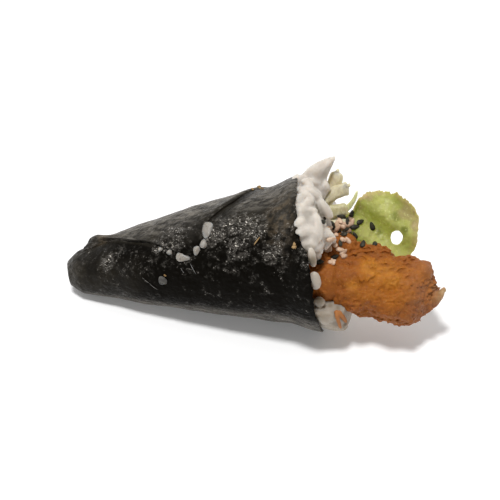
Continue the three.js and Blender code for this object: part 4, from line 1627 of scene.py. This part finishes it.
def dust_and_sheen_at(t, angle):
    """How dry and dusty the sheet looks at a place of the roll, with its painted sheen and painted
    floor reflection, from 0 to 1.
    """
    past_lower = t - height_at(Lap.lower_edge, angle)
    past_upper = t - height_at(Lap.upper_edge, angle)
    lapped = smooth(past_lower, -0.005, 0.02) * (1 - smooth(past_upper, -0.02, 0.005))
    lapped *= smooth(angle, 52, 60)
    near_edge = smooth(past_upper, -0.14, -0.02) * (1 - smooth(angle, *DustAndSheen.lap_edge_angles))
    lap = lapped * lerp(DustAndSheen.lap_least, 1, smooth(angle, *DustAndSheen.lap_angles))
    lap *= 1 - DustAndSheen.lap_edge * near_edge
    # Painted sheen on the crest, stopping short of the lap's upper edge.
    crest = DustAndSheen.crest * smooth(angle, *DustAndSheen.crest_angles) * smooth(t, *DustAndSheen.crest_start)
    crest *= smooth(past_upper, 0.03, 0.1)
    # A painted reflection of the floor along the bottom.
    bottom = DustAndSheen.bottom * smooth(-angle, *DustAndSheen.bottom_angles)
    tip = DustAndSheen.tip * (1 - smooth(t, *DustAndSheen.tip_end))
    rim = DustAndSheen.rim * bell(t, 0.95, 0.035) * bell(angle, 62, 16)
    far_side = max(smooth(angle, 125, 150), smooth(-angle, 45, 70))
    sheen_and_dust = max(lap, crest, bottom, tip, rim) * (1 - DustAndSheen.far_side * far_side)
    return max(0, sheen_and_dust - DustAndSheen.wet * wetness(t, angle))


def darkness(t, angle):
    """How black the sheet is at a place of the roll, from 0 to 1."""
    middle = smooth(t, 0.2, 0.42) * window(angle, -26, -8, 52, 74)
    under_lap = smooth(height_at(Lap.lower_edge, angle) - t, 0, 0.03) * smooth(t, 0.14, 0.3)
    return max(middle, under_lap * window(angle, 40, 60, 84, 96))


def rust(t, angle):
    """How brown the sheet looks at a place of the roll, from 0 to 1."""
    patch = bell(t, 0.94, 0.05) * bell(angle, 70, 20)
    return max(patch, 0.8 * bell(t, 0.17, 0.03) * bell(angle, 104, 9))


def dress_nori(name, shape, look):
    obj = mesh_object(name, shape)
    places = [roll_place(point) for point in points_of(obj)]
    for layer, value_at in (("wet", wetness), ("dust_and_sheen", dust_and_sheen_at), ("deep", darkness), ("rust", rust)):
        keep(obj, layer, [value_at(t, angle) for t, angle in places])
    finish_piece(obj, look, "nori", "nori_wrapper")


def make_nori():
    cone, lap, under = nori_cone(), nori_lap(), nori_underlap()
    look = nori_look()
    for name, shape in (("nori_sheet", cone), ("nori_lap", lap), ("nori_underlap", under)):
        dress_nori(name, shape, look)
    threads = laid_threads(STARCH_THREADS, Ground(cone, lap), 0.2)
    beads = mesh_object("lap_rice", lap_beads().add(threads))
    smudge = nori_point(*BEADS[-1][:2], 0)
    paint(beads, "shade", lambda point: 1 if (point - smudge).length < 9 else 0.3)
    look = rice_look("lap_rice", 0.35, (0.11, 0.105, 0.095))
    finish_piece(beads, look, "rice", "nori_wrapper")
    return Shape().add(cone).add(lap).add(under)


def make_rice(nori):
    core = heap_core()
    marked = marked_grains(MARKED_GRAINS, Ground(core, fillet_core()))
    spilt = marked_grains(SPILT_GRAINS, Ground(nori, core))
    loose = heap_grains(Ground(core))
    whole = core.add(loose).add(marked)
    whole.points = [tucked(point) for point in whole.points]
    whole.add(spilt)
    for places, width, tip, thickness in RICE_PEAK:
        path = [at_side((x, y), back) for x, y, back in places]
        whole.add(strip(path, width, tip, thickness))
    for *ends, width, thickness, bow in LONE_GRAINS:
        a, b = [at_side((x, y), back) for x, y, back in ends]
        whole.add(pod_between(a, b, LEAF_OUT, width, thickness, 16, 18, bow))
    obj = fused("rice_grains", whole, Heap.voxel, Heap.smoothing)
    join_into(obj, heap_plug())
    ground = Ground(shape_of(obj))
    shade_and_brown_at = spotted(Heap.brown_spots, ground)

    # Painted shade low down and on the viewer's side, and at the browned spots, some of them
    # painted shade too.
    def shade_at(point):
        low = Heap.low_shade * (1 - smooth(point.z, *Heap.low_heights))
        side = Heap.side_shade * smooth(-point.y, *Heap.side_places)
        side *= 1 - smooth(point.z, *Heap.side_heights)
        return max(low * (1 + 0.4 * lumps(point, 5, 9)), side, shade_and_brown_at(point))

    paint(obj, "shade", shade_at)
    paint(obj, "crack_shade", spotted(Heap.crack_shades, ground))
    finish_piece(obj, rice_look(), "rice", "rice_heap")
    return shape_of(obj)


def spotted(spots, ground):
    """How near a point is to the places that the camera sees at (pixel, radius, strength) spots."""
    seen = [(ground.seen(pixel)[0], radius, strength) for pixel, radius, strength in spots]

    def value_at(point):
        return max(most * bell((point - spot).length, 0, radius) for spot, radius, most in seen)

    return value_at


def dress_crust(obj):
    """Keeps how near each point is to the fillet's rims and far end, and how high it stands, for
    the painted shade and browner crust along the rims and the painted shade in low places.
    """
    rims, ends, heights = [], [], []
    for point in points_of(obj):
        s, angle = fillet_place(point)
        middle = curve_point(FILLET_PATH, s)
        # Painted shade near the root, under the rim.
        near_root = 0.9 * (1 - smooth(s, 0.58, 0.7))
        rims.append(max(smooth(abs(cos_sin(angle)[0]), 0.45, 1), near_root))
        ends.append(smooth(s, 0.8, 0.97))
        height = (point - middle).length - (fillet_point(s, angle, Fillet.inset) - middle).length
        heights.append(smooth(height, -0.3, 0.9))
    for name, values in (("rim", rims), ("far", ends), ("height", heights)):
        keep(obj, name, values)


def make_fillet():
    whole = fillet_core().add(fillet_flakes()).add(fillet_spur()).add(fillet_knobs())
    obj = fused("fried_crust", whole, Fillet.voxel, Fillet.smoothing)
    join_into(obj, fillet_plug())
    dress_crust(obj)
    paint(obj, "gold_and_light", spotted(Fillet.gold_and_lit_spots, Ground(fillet_core())))
    paint(obj, "pale", spotted(Fillet.pale_spots, Ground(shape_of(obj))))
    finish_piece(obj, crust_look(), "crust", "fried_fillet")
    return shape_of(obj)


def make_scrap(ground):
    rng = random.Random(3)
    shape = Shape()
    for *pixels, width, tip in Scrap.legs:
        seats = [ground.seen(pixel) for pixel in pixels]
        start, middle, end = [seat + out * 0.25 for seat, out in seats]
        path = (start, middle * 2 - (start + end) / 2, end)
        shape.add(strip(path, width, tip, Scrap.thickness))
        for _ in range(Scrap.crumbs):
            share = rng.uniform(0, 0.95)
            off = scattered(rng, 1).normalized()
            seat = curve_point(path, share) + off * (0.35 * lerp(width, tip, share))
            shape.add(chunk(seat, off, rng.uniform(*Scrap.crumb), 0.7, rng))
    obj = fused("rice_scrap", shape, Scrap.voxel, 1)
    for name, value in (("rim", 1), ("far", 0.9), ("height", 0), ("gold_and_light", 0), ("pale", 0)):
        keep(obj, name, [value] * len(obj.data.vertices))
    finish_piece(obj, bpy.data.materials["crust"], "crust", "crust_scrap")


def make_leaf():
    obj = mesh_object("lettuce_blade", leaf_blade())
    plug = mesh_object("hole_cutter", leaf_plug())
    cut = obj.modifiers.new("hole", "BOOLEAN")
    cut.object = plug
    cut.operation = "DIFFERENCE"
    cut.solver = "EXACT"
    applied(obj)
    bpy.data.objects.remove(plug)

    def margin_at(point):
        away = point - Leaf.centre
        across, up = away.dot(LEAF_ACROSS), away.dot(LEAF_UP)
        from_tip = Leaf.half_width - max(0, across)
        top = leaf_edge(across, Leaf.rise) - up
        bottom = leaf_edge(across, Leaf.drop, Leaf.low_right_fullness) + up
        wide = lerp(2.2, 4.5, smooth(across, 3, 9))
        return 1 - smooth(min(from_tip, top, bottom * 1.5), 0.2, wide)

    paint(obj, "margin", margin_at)
    ground = Ground(shape_of(obj))
    paint(obj, "dark", spotted(Leaf.shade_spots, ground))
    paint(obj, "brown", spotted(Leaf.brown_spots, ground))
    finish_piece(obj, lettuce_look(), "lettuce", "lettuce_leaf")
    return shape_of(obj)


def make_shreds():
    looks = {}
    for name, *colours in (
        ("beige", (0.68, 0.62, 0.43), (0.57, 0.5, 0.33)),
        ("green", (0.66, 0.66, 0.34), (0.54, 0.53, 0.27)),
        ("pale", (0.56, 0.52, 0.31), (0.45, 0.41, 0.23)),
        ("lit_beige", (0.8, 0.73, 0.52), (0.7, 0.62, 0.42)),
    ):
        looks[name] = shred_look("shred_" + name, *colours)
    # The tall shred has a lighter copy of the beige: painted light, as it lies more in shade.
    coloured = {"shred_curl": "green", "shred_broad": "pale", "shred_tall": "lit_beige"}
    whole = Shape()
    for k, (name, sizes) in enumerate(SHREDS.items()):
        shape = strip(*sizes, ridges=0.05, seed=3.1 * k)
        for prong in PRONGS.get(name, []):
            shape.add(strip(*prong, ridges=0.05, seed=k))
        whole.add(shape)
        look = looks[coloured.get(name, "beige")]
        finish_piece(mesh_object("pale_" + name, shape), look, "shred", name)
    return whole


def make_seeds(ground):
    for name, pixels, seed, *colours in (
        ("sesame_black", BLACK_SEEDS, 11, (0.02, 0.018, 0.012), (0.048, 0.043, 0.026)),
        ("sesame_tan", TAN_SEEDS, 12, (0.55, 0.36, 0.24), (0.74, 0.55, 0.4)),
    ):
        obj = mesh_object(name, seeds(pixels, ground, seed))
        finish_piece(obj, seed_look(name, *colours), "crust")


def make_nori_crumbs(ground):
    shape = crumbs(NORI_CRUMBS, ground, 4).add(laid_threads(CRUST_THREADS, ground, 0.5))
    look = seed_look("nori_crumb", (0.3, 0.18, 0.07), (0.45, 0.3, 0.14))
    finish_piece(mesh_object("nori_crumbs", shape), look, "crust")


def make_camera():
    right, up, back = sight_axes()
    data = bpy.data.cameras.new("camera")
    data.lens = Sight.lens
    data.sensor_width = Sight.sensor
    data.clip_start, data.clip_end = 0.01, 20
    camera = bpy.data.objects.new("camera", data)
    turned = Matrix((right, up, back)).transposed().to_4x4()
    camera.matrix_world = Matrix.Translation((sight_eye() - ORIGIN) * MM) @ turned
    bpy.context.scene.collection.objects.link(camera)
    bpy.context.scene.camera = camera


def make_lamp():
    data = bpy.data.lights.new("lamp", "AREA")
    data.shape = "DISK"
    data.size = Studio.lamp_size
    data.energy = Studio.lamp_power
    light = bpy.data.objects.new("lamp", data)
    light.location = Studio.lamp
    light.rotation_mode = "QUATERNION"
    aim = Vector(Studio.lamp) - Vector(Studio.lamp_aim)
    light.rotation_quaternion = aim.to_track_quat("Z", "Y")
    bpy.context.scene.collection.objects.link(light)


def make_world():
    world = bpy.data.worlds.new("studio")
    world.use_nodes = True
    tree = world.node_tree
    towards = add_node(tree, "VectorMath")
    towards.operation = "DOT_PRODUCT"
    put(tree, towards.inputs[0], tree.nodes.new("ShaderNodeTexCoord").outputs["Generated"])
    put(tree, towards.inputs[1], Studio.dark_side.normalized())
    low, high = Studio.dark_spread
    bright, dark = Studio.bright, Studio.dark
    fade = add_node(tree, "MapRange", From_Min=low, From_Max=high, To_Min=bright, To_Max=dark)
    fade.interpolation_type = "SMOOTHSTEP"
    put(tree, fade.inputs["Value"], towards.outputs["Value"])
    background = tree.nodes["Background"]
    put(tree, background.inputs["Strength"], fade.outputs["Result"])
    put(tree, background.inputs["Color"], (1, 1, 1, 1))
    bpy.context.scene.world = world


def make_floor():
    half = Studio.floor_half
    floor = bpy.data.meshes.new("floor")
    corners = ((-half, -half), (half, -half), (half, half), (-half, half))
    floor.from_pydata([(x, y, Studio.floor_level) for x, y in corners], [], [(0, 1, 2, 3)])
    obj = bpy.data.objects.new("floor", floor)
    bpy.context.scene.collection.objects.link(obj)
    look = Look("floor")
    base = look.mix(look.noise(90, 2), (0.9, 0.9, 0.9), (0.93, 0.93, 0.93))
    look.set(Base_Color=base, Roughness=0.8, Emission_Color=(1, 1, 1, 1))
    floor.materials.append(look.set(Emission_Strength=Studio.floor_glow))


def make_stage():
    bpy.context.scene.view_settings.view_transform = "Standard"
    make_world()
    make_floor()
    make_lamp()


make_camera()
make_stage()
nori = make_nori()
fillet = make_fillet()
rice = make_rice(nori)
make_scrap(Ground(rice))
leaf = make_leaf()
shreds = make_shreds()
make_seeds(Ground(rice, fillet, leaf, shreds))
make_nori_crumbs(Ground(nori))
